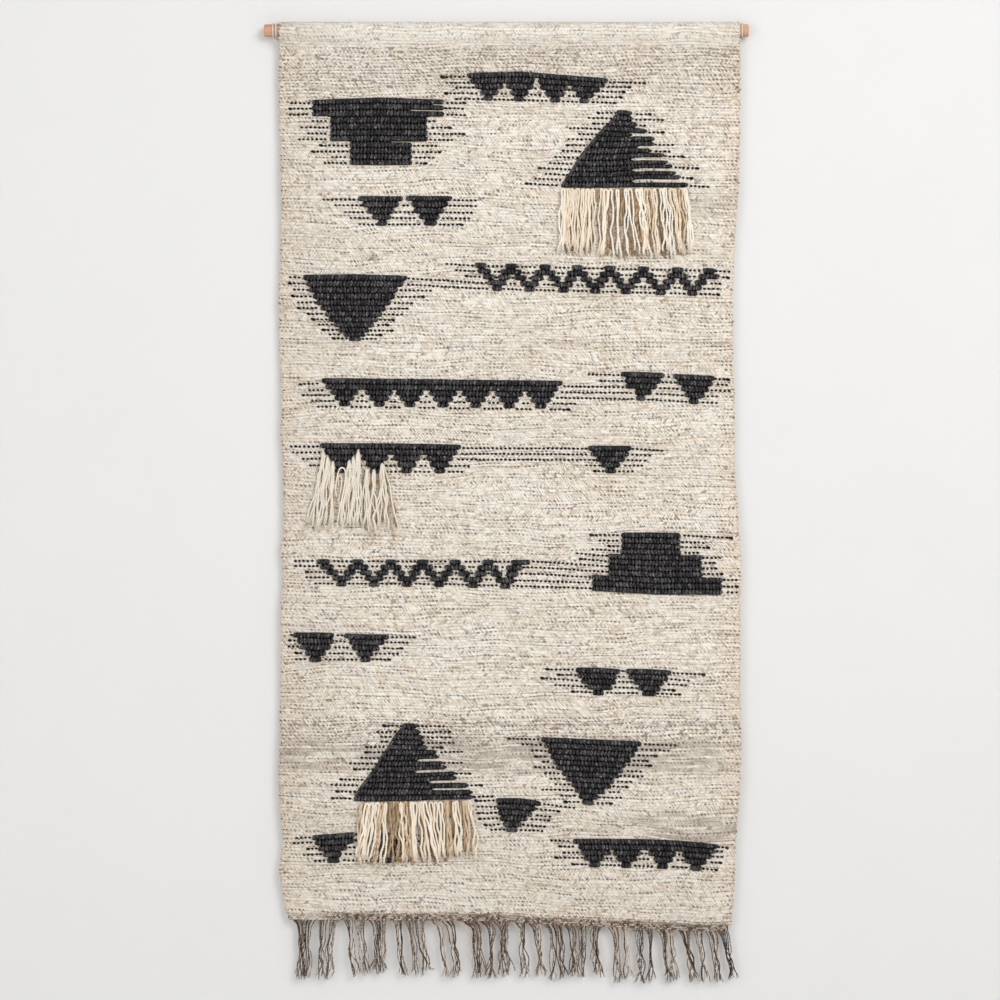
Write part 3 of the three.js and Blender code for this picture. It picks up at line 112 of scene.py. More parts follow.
 ([(125.8,-696.1),(218.6,-696.1)],125.8,218.2,[(151.4,181.8,11)]),
 ([(138.6,-705.4),(205.8,-705.4)],139.6,205.7,[(157.8,175.4,11)]),
 ([(133.8,-807.4),(183.4,-807.4),(237.8,-807.1),(279.4,-808.1),(365.8,-812.2)],134.3,365.5,[(183.4,278.6,13)]),
 ([(148.2,-816.4),(237.8,-816.6),(316.2,-820.2)],148.2,317,[(183.4,278.6,13)]),
 ([(162.6,-825),(237.8,-825.7),(330.6,-827.9)],162.6,330.6,[(183.4,279.4,13)]),
 ([(135.4,-829.8),(183.4,-833),(237.8,-834.6),(314.6,-836.2)],136.4,313,[(181.8,279.4,13)]),
 ([(109.8,-836.6),(162.6,-841),(237.8,-843.6),(343.4,-843.9)],110.3,343.4,[(162.6,313,13)]),
 ([(116.2,-845.2),(162.6,-849.4),(237.8,-852.6),(338.6,-851.9)],117.4,338.6,[(162.6,313,13)]),
 ([(-339.8,-848.9),(-106.2,-849.7),(53.8,-850.2),(162.6,-857.5),(237.8,-861.7),(338.6,-860.9)],-339.3,338.6,[(-303.8,-282.2,12),(-246.6,-228.1,12),(-193.8,-175.3,12),(-143.4,-124.9,12),(-91.4,-72.9,12),(-38.6,-20.1,12),(7.4,37.8,12),(162.6,313,13)]),
 ([(-339.8,-857),(-106.2,-858.2),(53.8,-859.3),(162.6,-866.5),(237.8,-870.8),(346.6,-869.5)],-339.3,346.6,[(-298.2,-276.1,12),(-254.3,-220.4,12),(-201.5,-167.6,12),(-151.1,-117.2,12),(-99.1,-65.2,12),(-46.3,-12.4,12),(-0.6,25.8,12),(162.6,313.8,13)]),
 ([(-322.2,-866.2),(-106.2,-867.6),(53.8,-869.8),(135.4,-875),(237.8,-880.1),(370.6,-879.1)],-321.4,370.6,[(-288.1,-268.2,12),(-260.5,-240.6,12),(-234.5,-214.6,12),(-208.1,-188.2,12),(-181.7,-161.8,12),(-156.5,-136.6,12),(-130.9,-111,12),(-104.9,-85,12),(-77.7,-57.8,12),(-51.3,-31.4,12),(-25.7,-5.8,12),(-0.5,19.4,12),(136.2,345.8,13)]),
 ([(-322.2,-875),(-106.2,-876.9),(53.8,-881),(135.4,-883.9),(237.8,-889.4),(370.6,-889.7)],-321.4,370.6,[(-279.1,-248.4,12),(-227.1,-196.4,12),(-174.3,-143.6,12),(-123.1,-92.4,12),(-68.7,-38,12),(-17.5,13.2,12),(136.2,345.8,13)]),
 ([(-307.8,-884.6),(-106.2,-885.8),(53.8,-890),(135.4,-892.7),(237.8,-898.6),(370.6,-899.3)],-307.6,370.6,[(-272.1,-255.4,12),(-220.1,-203.4,12),(-167.3,-150.6,12),(-116.1,-99.4,12),(-61.7,-45,12),(-10.5,6.2,12),(137,345.8,13)]),
 ([(-349.4,-967.4),(-304.6,-966.8),(-266.2,-967.9),(-224.6,-969.7),(-139.8,-971.3)],-346.6,-140.9,[(-341.4,-275.8,14),(-259.8,-187.8,15)]),
 ([(-349.4,-975.8),(-304.6,-976.7),(-224.6,-978.6),(-154.2,-979.4)],-349.4,-154.2,[(-335,-275.8,14),(-251.8,-194.2,15)]),
 ([(-349.4,-985.5),(-304.6,-986.6),(-224.6,-988.2),(-163.8,-989)],-350.2,-164.6,[(-330.2,-280.6,14),(-247,-203,15)]),
 ([(-338.2,-996.2),(-224.6,-997.2),(-165.4,-997.2)],-337.7,-166.2,[(-322.2,-288.6,14),(-239.8,-212.6,15)]),
 ([(-338.2,-1006.2),(-179.8,-1006.5)],-338.2,-179.8,[(-315.8,-295.8,14),(-234.2,-217.4,15)]),
 ([(63.4,-1022.3),(146.6,-1022.8),(183.4,-1025),(228.2,-1025.8),(321,-1031.4)],63.6,320.9,[(110.6,182.6,16),(191.4,264.2,17)]),
 ([(81,-1031.1),(146.6,-1031.8),(185,-1034.3),(228.2,-1034.6),(295.4,-1041)],81.8,295.4,[(113.8,177,16),(194.6,258.6,17)]),
 ([(55.4,-1036.2),(121,-1040.7),(188.2,-1042.6),(228.2,-1043.3),(289,-1048.2)],55.4,288.6,[(119.4,175.4,16),(202.6,252.2,17)]),
 ([(76.2,-1047.4),(129,-1049.7),(209,-1051.9),(271.4,-1056.2)],77,271.4,[(129,169.8,16),(210.6,246.6,17)]),
 ([(105,-1057.7),(137,-1059),(215.4,-1060.6),(282.6,-1062.6)],105,282.6,[(137.8,155.9,16),(217,240.2,17)]),
 ([(-285.4,-1112.1),(-165.4,-1112.7),(-162.2,-1113),(-114.2,-1113.7),(-143,-1113.7),(-10.2,-1112.7)],-197.4,-95.6,[(-165.4,-143,18)]),
 ([(-285.4,-1122),(-173.4,-1122.6),(-162.2,-1123),(-114.2,-1123),(-136.6,-1123),(-10.2,-1122)],-208.6,-88.6,[(-173.4,-136.6,18)]),
 ([(-285.4,-1130),(-179.8,-1130.6),(-162.2,-1131),(-114.2,-1131.6),(-131.8,-1131.6),(-10.2,-1130.6)],-201.5,-84.4,[(-179.8,-131.8,18)]),
 ([(-285.4,-1138),(-184.6,-1138.6),(-162.2,-1139),(-114.2,-1140.2),(-130.2,-1140.2),(-10.2,-1139.3)],-201.5,-81.7,[(-184.6,-130.2,18)]),
 ([(-285.4,-1146),(-189.4,-1146.6),(-162.2,-1147),(-114.2,-1147.6),(-125.4,-1147.6),(-10.2,-1146.6)],-225.7,-101.4,[(-189.4,-125.4,18)]),
 ([(-285.4,-1154.5),(-195,-1155.1),(-162.2,-1155.4),(-114.2,-1155),(-111,-1155),(-10.2,-1154)],-225.7,-68.4,[(-195,-111,18)]),
 ([(-285.4,-1163.6),(-202.2,-1164.2),(-162.2,-1164.6),(-114.2,-1162.3),(-107.8,-1162.3),(-10.2,-1161.4)],-233.2,-107.8,[(-202.2,-107.8,18)]),
 ([(-285.4,-1172.6),(-206.2,-1173.2),(-162.2,-1173.5),(-114.2,-1172.9),(-101.4,-1172.2),(-10.2,-1171.9)],-251.1,-66.2,[(-206.2,-101.4,18)]),
 ([(-285.4,-1181.5),(-211.8,-1182.2),(-162.2,-1182.5),(-114.2,-1179.9),(-95.4,-1179.3),(-10.2,-1179)],-244.2,-95.4,[(-211.8,-95.4,18)]),
 ([(-285.4,-1190.2),(-219,-1190.8),(-162.2,-1191.1),(-114.2,-1189.8),(-81.4,-1189.2),(-10.2,-1188.9)],-219,-51.8,[(-219,-81.4,18)]),
 ([(-285.4,-1198.2),(-224.6,-1198.8),(-162.2,-1199.1),(-114.2,-1196.2),(-79,-1195.6),(-10.2,-1195.3)],-266.3,-79,[(-224.6,-79,18)]),
 ([(-285.4,-1207.1),(-231.8,-1207.8),(-162.2,-1208.1),(-114.2,-1208.7),(-59.8,-1208.1),(-10.2,-1207.8)],-281.4,-37.4,[(-231.8,-59.8,18)]),
 ([(-285.4,-1217.4),(-239,-1218),(-162.2,-1218.3),(-114.2,-1219.9),(-54.2,-1219.3),(-10.2,-1218.3)],-273.2,-54.2,[(-239,-54.2,18)]),
 ([(-285.4,-1228.2),(-243.8,-1228.9),(-162.2,-1229.2),(-114.2,-1227),(-52.7,-1226.3),(-10.2,-1225.4)],-280.1,-15,[(-243.8,-52.7,18)]),
 ([(-50.2,-1232.6),(-15,-1232.4),(21.8,-1232.4),(55.4,-1237.5),(114.6,-1245)],-50.2,114.6,[(-16.6,55.4,20)]),
 ([(-47,-1242.3),(21.8,-1242),(55.4,-1246.5),(85.8,-1249.8)],-47,85.8,[(-15.8,46.6,20)]),
 ([(-47,-1252.4),(13.8,-1251.1),(44.2,-1255.4),(76.2,-1258.6)],-47,76.2,[(-13.4,41,20)]),
 ([(-45.4,-1261.5),(13.8,-1260.2),(33,-1261.2),(69.8,-1264.7)],-44.4,69.2,[(-10.2,33.8,20)]),
 ([(-35.8,-1271.8),(9,-1269.5),(63.4,-1274)],-34.8,63.4,[(-5.4,24.2,20)]),
 ([(-26.2,-1278.8),(9,-1278.5),(58.6,-1281)],-26.2,58.6,[(-0.6,17.8,20)]),
 ([(-10.2,-1132.7),(55.4,-1134.6),(216.2,-1141.8),(277.8,-1144.4)],2.2,275.6,[(55.4,216.2,19)]),
 ([(-10.2,-1141.5),(60.2,-1143.4),(210.6,-1150.6),(277.8,-1153.2)],24.1,261.8,[(60.2,210.6,19)]),
 ([(-10.2,-1151.1),(66.6,-1153),(205.8,-1159.4),(277.8,-1162)],39.4,245.8,[(66.6,205.8,19)]),
 ([(-10.2,-1160.2),(70.6,-1162.2),(199.4,-1168.2),(277.8,-1170.8)],44.9,229.8,[(70.6,199.4,19)]),
 ([(-10.2,-1168.7),(74.6,-1170.6),(191.4,-1175.4),(277.8,-1178)],57,234.6,[(74.6,191.4,19)]),
 ([(-10.2,-1177.5),(79.4,-1179.4),(186.6,-1185),(277.8,-1187.6)],44.9,220.2,[(79.4,186.6,19)]),
 ([(-10.2,-1187.1),(89,-1189),(180.2,-1193),(277.8,-1195.6)],60.9,220.2,[(89,180.2,19)]),
 ([(-10.2,-1195.9),(95.4,-1197.8),(172.2,-1201.8),(277.8,-1204.4)],69.8,205.4,[(95.4,172.2,19)]),
 ([(-10.2,-1204.7),(103.4,-1206.6),(167.4,-1209.8),(277.8,-1212.4)],76.2,196.2,[(103.4,167.4,19)]),
 ([(-10.2,-1213.5),(109,-1215.4),(157.8,-1218.6),(277.8,-1221.2)],56.4,186.6,[(109,157.8,19)]),
 ([(-10.2,-1223.1),(115.4,-1225),(147.4,-1227.4),(277.8,-1230)],86.6,185.8,[(115.4,147.4,19)]),
 ([(-10.2,-1232.7),(121,-1234.6),(140.2,-1236.2),(277.8,-1238.8)],92.2,172.2,[(121,140.2,19)]),
 ([(-338.2,-1292.2),(-309.4,-1291),(-242.2,-1285.7),(-226.2,-1286.5),(-157.4,-1288.4),(-130.2,-1289)],-337.4,-130.2,[(-311,-242.2,21),(-226.2,-157.4,22)]),
 ([(-343,-1300.2),(-306.2,-1299),(-242.2,-1295.9),(-192.6,-1296.7),(-122.2,-1297.4)],-342,-122.2,[(-306.2,-243,21),(-220.6,-163.8,22)]),
 ([(-319,-1309.8),(-274.2,-1307.3),(-239,-1307.4),(-125.4,-1307.6)],-319,-125.4,[(-300.6,-254.2,21),(-215,-168.6,22)]),
 ([(-327,-1319.4),(-277.4,-1317.2),(-239,-1318.2),(-131.8,-1317.8)],-326.2,-131.8,[(-293.4,-263.8,21),(-207,-176.6,22)]),
 ([(-307.8,-1329),(-277.4,-1327.1),(-239,-1328.7),(-144.6,-1328.4)],-307.8,-144.6,[(-287,-267,21),(-199.8,-183.8,22)]),
 ([(69.8,-1296.1),(106.6,-1297.7),(213.8,-1298),(277.8,-1300.2),(337,-1306.3),(357.8,-1308.2)],69.8,357.8,[(106.6,337,23)]),
 ([(84.2,-1305.5),(149.8,-1307),(213.8,-1307.3),(277.8,-1309.8),(346.6,-1314)],84.2,346.6,[(114.6,334.6,23)]),
 ([(90.6,-1315.4),(213.8,-1316.7),(277.8,-1318.5),(351.4,-1323.4)],90.6,351.4,[(118.6,167.4,23),(169.8,215.4,23),(226.6,271.4,23),(281,329,23)]),
 ([(76.2,-1323.4),(213.8,-1325.8),(277.8,-1327.4),(345,-1332.2)],77,345,[(124.2,157,23),(175.4,209.8,23),(235.4,266.6,23),(284.2,321,23)]),
 ([(103.4,-1334.3),(213.8,-1337),(277.8,-1338.6),(340.2,-1343.4)],104.2,340.2,[(132.2,150.6,23),(183.4,200.2,23),(241,258.6,23),(293.8,312.2,23)]),
]
MOTIFS = ['motif_stepped_upper', 'motif_bunting_upper', 'motif_big_triangle_upper', 'motif_pair_upper_left', 'motif_pair_upper_right', 'motif_inverted_triangle_upper', 'motif_zigzag_upper', 'motif_bunting_wide', 'motif_pair_mid_left', 'motif_pair_mid_right', 'motif_bunting_mid', 'motif_small_triangle_mid', 'motif_zigzag_lower', 'motif_stepped_lower', 'motif_pair_low_left_a', 'motif_pair_low_left_b', 'motif_pair_low_right_a', 'motif_pair_low_right_b', 'motif_big_triangle_lower', 'motif_inverted_triangle_lower', 'motif_small_triangle_lower', 'motif_pair_bottom_a', 'motif_pair_bottom_b', 'motif_bunting_lower']
LIFT = {0: 0.8, 1: 1.76, 2: 0.8, 3: 1.44, 4: 2.24, 6: 0.64, 7: 4.8, 10: 1.44, 11: 0.64, 12: -0.96, 16: -0.8, 14: -0.32, 15: -0.32, 21: -0.8, 8: 1.28, 9: 0.8}

EDGES = np.array([
 [30,-362.2,368],[10,-362.2,371],[-25.6,-362.2,372.6],[-48,-362.2,372.8],[-112,-363.6,372.8],[-192,-360.4,372.4],[-272,-358.8,369.6],[-316,-359.6,365.6],
 [-368,-360.4,363.2],[-432,-362.8,361.6],[-512,-362,361],[-576,-358,363.4],[-640,-359.6,364],[-712,-356.6,364.2],
 [-760,-355.4,369],[-800,-355,370.6],[-828,-360,373],[-872,-355.6,375.2],[-928,-359.6,373],[-992,-359.6,373],
 [-1072,-360.4,373],[-1136,-361,374.4],[-1200,-363.4,373.4],[-1256,-360.4,369],[-1296,-355.4,365],[-1344,-362,364.2],
 [-1392,-355.4,361],[-1413,-352.4,359.2],[-1432,-349.4,355]], float)
BOTTOM = np.array([[-349.4,-1423.4],[-10.2,-1425.8],[53.8,-1430.6],[149.8,-1434.6],[245.8,-1438.6],[309.8,-1441.8],[355,-1441]], float)
BAND_H = 9.6
CUT_Z = -500.0                      # the sheet's two lengths meet here, edge on edge
THICK = 3.6


def x_left(z): return np.interp(-np.asarray(z, float), -EDGES[:, 0], EDGES[:, 1])
def x_right(z): return np.interp(-np.asarray(z, float), -EDGES[:, 0], EDGES[:, 2])
def z_bottom(x): return np.interp(x, BOTTOM[:, 0], BOTTOM[:, 1])


def sway(x, z):
    """How far the cloth's middle stands off its plane, mm."""
    x = np.asarray(x, float); z = np.asarray(z, float)
    w = (0.9 * np.sin(x * 0.0091 + z * 0.0052 + 1.0) + 0.8 * np.sin(x * 0.017 - z * 0.0113 + 2.1)
         + 0.6 * np.sin(z * 0.021 + x * 0.004 + 0.4) + 0.35 * np.sin(x * 0.041 + z * 0.019))
    # selvedges pull in and out a little more than the middle
    e = np.clip(1 - np.minimum(x + 362, 372 - x) / 60.0, 0, 1) ** 2
    w = w + e * 1.3 * np.sin(z * 0.034 + np.where(x > 0, 1.7, 0.0))
    fade = np.clip((-z - 30) / 60.0, 0, 1)
    fade = fade * fade * (3 - 2 * fade)
    return w * fade * 0.8


def face_y(x, z): return sway(x, z) - THICK / 2


# ------------------------------------------------------------------ mesh helpers
def make_mesh(name, co, quads=None, tris=None, attrs=None, smooth=True, material=None):
    """co (n,3) in mm. attrs: name -> (n,) or (n,3) point data."""
    co = np.asarray(co, float) * MM
    me = bpy.data.meshes.new(name)
    faces, starts, totals, at = [], [], [], 0
    for block, n in ((quads, 4), (tris, 3)):
        if block is None or len(block) == 0:
            continue
        block = np.asarray(block, np.int32).reshape(-1, n)
        faces.append(block.ravel())
        starts.append(at + np.arange(len(block), dtype=np.int32) * n)
        totals.append(np.full(len(block), n, np.int32))
        at += block.size
    loops = np.concatenate(faces); starts = np.concatenate(starts)
    me.vertices.add(len(co)); me.vertices.foreach_set("co", co.astype(np.float32).ravel())
    me.loops.add(len(loops)); me.loops.foreach_set("vertex_index", loops)
    me.polygons.add(len(starts)); me.polygons.foreach_set("loop_start", starts)
    me.update(calc_edges=True)
    me.validate()
    if smooth:
        me.polygons.foreach_set("use_smooth", np.ones(len(me.polygons), bool))
    for key, data in (attrs or {}).items():
        data = np.asarray(data, np.float32)
        kind = "FLOAT" if data.ndim == 1 else "FLOAT_VECTOR"
        a = me.attributes.new(key, kind, "POINT")
        a.data.foreach_set("value" if data.ndim == 1 else "vector", data.ravel())
    ob = bpy.data.objects.new(name, me)
    bpy.context.scene.collection.objects.link(ob)
    if material:
        me.materials.append(material)
    return ob


def blobs(centres, axes, along, across, deep, rnd, segs=8, rings=4, power=1.0):
    """Many small ellipsoid stitches at once. centres (n,3), axes (n,3) long direction (unit), sizes (n,) semi-axes.
    Returns co, quads, tris, data."""
    centres = np.asarray(centres, float); n = len(centres)
    ax = np.asarray(axes, float)
    yv = np.tile([0.0, 1.0, 0.0], (n, 1))
    side = np.cross(yv, ax); side /= np.linalg.norm(side, axis=1)[:, None]
    up = np.cross(ax, side)
    t = np.linspace(0, math.pi, rings + 2)[1:-1]
    a = np.arange(segs) / segs * 2 * math.pi
    loc = [(-1.0, 0.0, 0.0)]
    for tt in t:
        for aa in a:
            loc.append((-math.cos(tt), math.sin(tt) ** power * math.cos(aa), math.sin(tt) ** power * math.sin(aa)))
    loc.append((1.0, 0.0, 0.0))
    loc = np.array(loc); m = len(loc)
    co = (centres[:, None, :] + loc[None, :, 0:1] * (ax * np.asarray(along)[:, None])[:, None, :]
          + loc[None, :, 1:2] * (side * np.asarray(across)[:, None])[:, None, :]
          + loc[None, :, 2:3] * (up * np.asarray(deep)[:, None])[:, None, :]).reshape(-1, 3)
    q, tr = [], []
    for i in range(segs):
        j = (i + 1) % segs
        tr.append((0, 1 + j, 1 + i)); last = 1 + (rings - 1) * segs
        tr.append((m - 1, last + i, last + j))
        for r in range(rings - 1):
            b = 1 + r * segs
            q.append((b + i, b + j, b + segs + j, b + segs + i))
    off = np.arange(n)[:, None, None] * m
    quads = (np.array(q)[None] + off).reshape(-1, 4)
    tris = (np.array(tr)[None] + off).reshape(-1, 3)
    data = np.repeat(np.asarray(rnd, float), m)
    lng = np.tile(loc[:, 0], n) * np.repeat(np.asarray(along, float), m)
    ang = np.tile(np.arctan2(loc[:, 2], loc[:, 1]), n)
    return co, quads, tris, data, np.stack([lng, ang, data], 1)


def tube(path, radius, sides, seed, twist=0.0, offset=0.0, turn=0.0, phase=0.0):
    """One yarn along path (n,3), radius (n,). offset, turn and phase lay it as a ply round the path."""
    p = np.asarray(path, float); n = len(p)
    t = np.gradient(p, axis=0); t /= np.maximum(np.linalg.norm(t, axis=1), 1e-9)[:, None]
    ref = np.array([0.0, 1.0, 0.0]) if abs(t[0][1]) < 0.9 else np.array([1.0, 0.0, 0.0])
    s = np.cross(t[0], ref); s /= np.linalg.norm(s)
    S = [s]
    for i in range(1, n):
        s = S[-1] - t[i] * np.dot(S[-1], t[i]); s /= max(np.linalg.norm(s), 1e-9); S.append(s)
    S = np.array(S); B = np.cross(t, S)
    seg = np.concatenate([[0], np.cumsum(np.linalg.norm(np.diff(p, axis=0), axis=1))])
    off = np.broadcast_to(np.asarray(offset, float), (n,))
    if np.any(off > 0):
        a = seg * turn + phase
        p = p + S * (np.cos(a) * off)[:, None] + B * (np.sin(a) * off)[:, None]
        t2 = np.gradient(p, axis=0); t2 /= np.maximum(np.linalg.norm(t2, axis=1), 1e-9)[:, None]
        S = S - t2 * np.sum(S * t2, 1)[:, None]; S /= np.linalg.norm(S, axis=1)[:, None]; B = np.cross(t2, S)
    r = np.broadcast_to(np.asarray(radius, float), (n,))
    a = np.arange(sides) / sides * 2 * math.pi
    co = p[:, None, :] + r[:, None, None] * (np.cos(a)[None, :, None] * S[:, None, :] + np.sin(a)[None, :, None] * B[:, None, :])
    co = co.reshape(-1, 3)
    q = []
    i = np.arange(n - 1)[:, None] * sides; k = np.arange(sides)[None, :]; k2 = (k + 1) % sides
    quads = np.stack([i + k, i + sides + k, i + sides + k2, i + k2], -1).reshape(-1, 4)
    tip0, tip1 = len(co), len(co) + 1
    co = np.vstack([co, p[0] - (p[1] - p[0]) * 0.2, p[-1] + (p[-1] - p[-2]) * 0.3])
    tris = np.vstack([np.stack([np.full(sides, tip0), k[0], k2[0]], 1), np.stack([np.full(sides, tip1), (n - 1) * sides + k2[0], (n - 1) * sides + k[0]], 1)])
    lng = np.concatenate([np.repeat(seg, sides), [0, seg[-1]]])
    ang = np.concatenate([np.tile(a, n), [0, 0]])
    return co, quads, tris, np.stack([lng, ang, np.full(len(co), float(seed))], 1)


class Pile:
    """Collects pieces of mesh into one object."""
    def __init__(self): self.co, self.q, self.t, self.d, self.n = [], [], [], [], 0
    def add(self, co, quads, tris, data):
        self.co.append(co); self.d.append(data)
        if quads is not None and len(quads): self.q.append(np.asarray(quads) + self.n)
        if tris is not None and len(tris): self.t.append(np.asarray(tris) + self.n)
        self.n += len(co)
    def make(self, name, material):
        return make_mesh(name, np.vstack(self.co), np.vstack(self.q) if self.q else None, np.vstack(self.t) if self.t else None,
                         {"yarn": np.vstack(self.d)}, material=material)


# ------------------------------------------------------------------ materials
class Nodes:
    """Small helper that writes node graphs as expressions."""
    def __init__(self, name):
        self.mat = bpy.data.materials.new(name); self.mat.use_nodes = True
        self.t = self.mat.node_tree; self.t.nodes.clear()
        self.out = self.t.nodes.new("ShaderNodeOutputMaterial")
        self.bsdf = self.t.nodes.new("ShaderNodeBsdfPrincipled")
        self.t.links.new(self.bsdf.outputs[0], self.out.inputs[0])
    def put(self, sock, v):
        if isinstance(v, bpy.types.NodeSocket): self.t.links.new(v, sock)
        elif v is not None: sock.default_value = v
    def m(self, op, a, b=None, c=None, clamp=False):
        n = self.t.nodes.new("ShaderNodeMath"); n.operation = op; n.use_clamp = clamp
        for i, v in enumerate((a, b, c)): self.put(n.inputs[i], v)
        return n.outputs[0]
    def add(self, a, b): return self.m("ADD", a, b)
    def sub(self, a, b): return self.m("SUBTRACT", a, b)
    def mul(self, a, b): return self.m("MULTIPLY", a, b)
    def attr(self, name):
        n = self.t.nodes.new("ShaderNodeAttribute"); n.attribute_name = name; return n
    def xyz(self, v):
        n = self.t.nodes.new("ShaderNodeSeparateXYZ"); self.t.links.new(v, n.inputs[0]); return n.outputs
    def vec(self, x, y, z=0.0):
        n = self.t.nodes.new("ShaderNodeCombineXYZ")
        for i, v in enumerate((x, y, z)): self.put(n.inputs[i], v)
        return n.outputs[0]
    def pos(self):
        return self.t.nodes.new("ShaderNodeTexCoord").outputs["Object"]
    def noise(self, v, scale=1.0, detail=2.0, rough=0.5, distort=0.0):
        n = self.t.nodes.new("ShaderNodeTexNoise")
        self.put(n.inputs["Vector"], v); n.inputs["Scale"].default_value = scale
        n.inputs["Detail"].default_value = detail; n.inputs["Roughness"].default_value = rough; n.inputs["Distortion"].default_value = distort
        return n.outputs[0]
    def white(self, v):
        n = self.t.nodes.new("ShaderNodeTexWhiteNoise"); n.noise_dimensions = "3D"; self.put(n.inputs["Vector"], v); return n.outputs["Value"]
    def span(self, v, a, b, c=0.0, d=1.0, smooth=False):
        n = self.t.nodes.new("ShaderNodeMapRange"); n.interpolation_type = "SMOOTHSTEP" if smooth else "LINEAR"; n.clamp = True
        for i, x in enumerate((v, a, b, c, d)): self.put(n.inputs[i], x)
        return n.outputs[0]
    def mix(self, f, a, b, mode="MIX"):
        n = self.t.nodes.new("ShaderNodeMix"); n.data_type = "RGBA"; n.blend_type = mode
        ins = [s for s in n.inputs if s.type == "RGBA"]
        self.put(n.inputs[0], f)
        self.put(ins[0], lin(a)); self.put(ins[1], lin(b))
        return [s for s in n.outputs if s.type == "RGBA"][0]
    def ramp(self, v, stops):
        n = self.t.nodes.new("ShaderNodeValToRGB"); r = n.color_ramp
        while len(r.elements) > 1: r.elements.remove(r.elements[-1])
        r.elements[0].position = stops[0][0]; r.elements[0].color = lin(stops[0][1])
        for p, c in stops[1:]:
            e = r.elements.new(p); e.color = lin(c)
        self.put(n.inputs[0], v); return n.outputs[0]
    def bump(self, h, strength, distance, normal=None):
        n = self.t.nodes.new("ShaderNodeBump"); n.inputs["Strength"].default_value = strength; n.inputs["Distance"].default_value = distance
        self.put(n.inputs["Height"], h)
        if normal is not None: self.put(n.inputs["Normal"], normal)
        return n.outputs[0]
    def surface(self, color, rough, normal=None, **sockets):
        self.put(self.bsdf.inputs["Base Color"], color); self.put(self.bsdf.inputs["Roughness"], rough)
        if normal is not None: self.put(self.bsdf.inputs["Normal"], normal)
        for k, v in sockets.items(): self.bsdf.inputs[k.replace("_", " ")].default_value = v
        return self.mat


def lin(c):
    """sRGB 0..255 triple to linear RGBA; sockets pass through."""
    if isinstance(c, bpy.types.NodeSocket): return c
    return tuple((v / 255 / 12.92) if v / 255 <= 0.04045 else ((v / 255 + 0.055) / 1.055) ** 2.4 for v in c[:3]) + (1.0,)


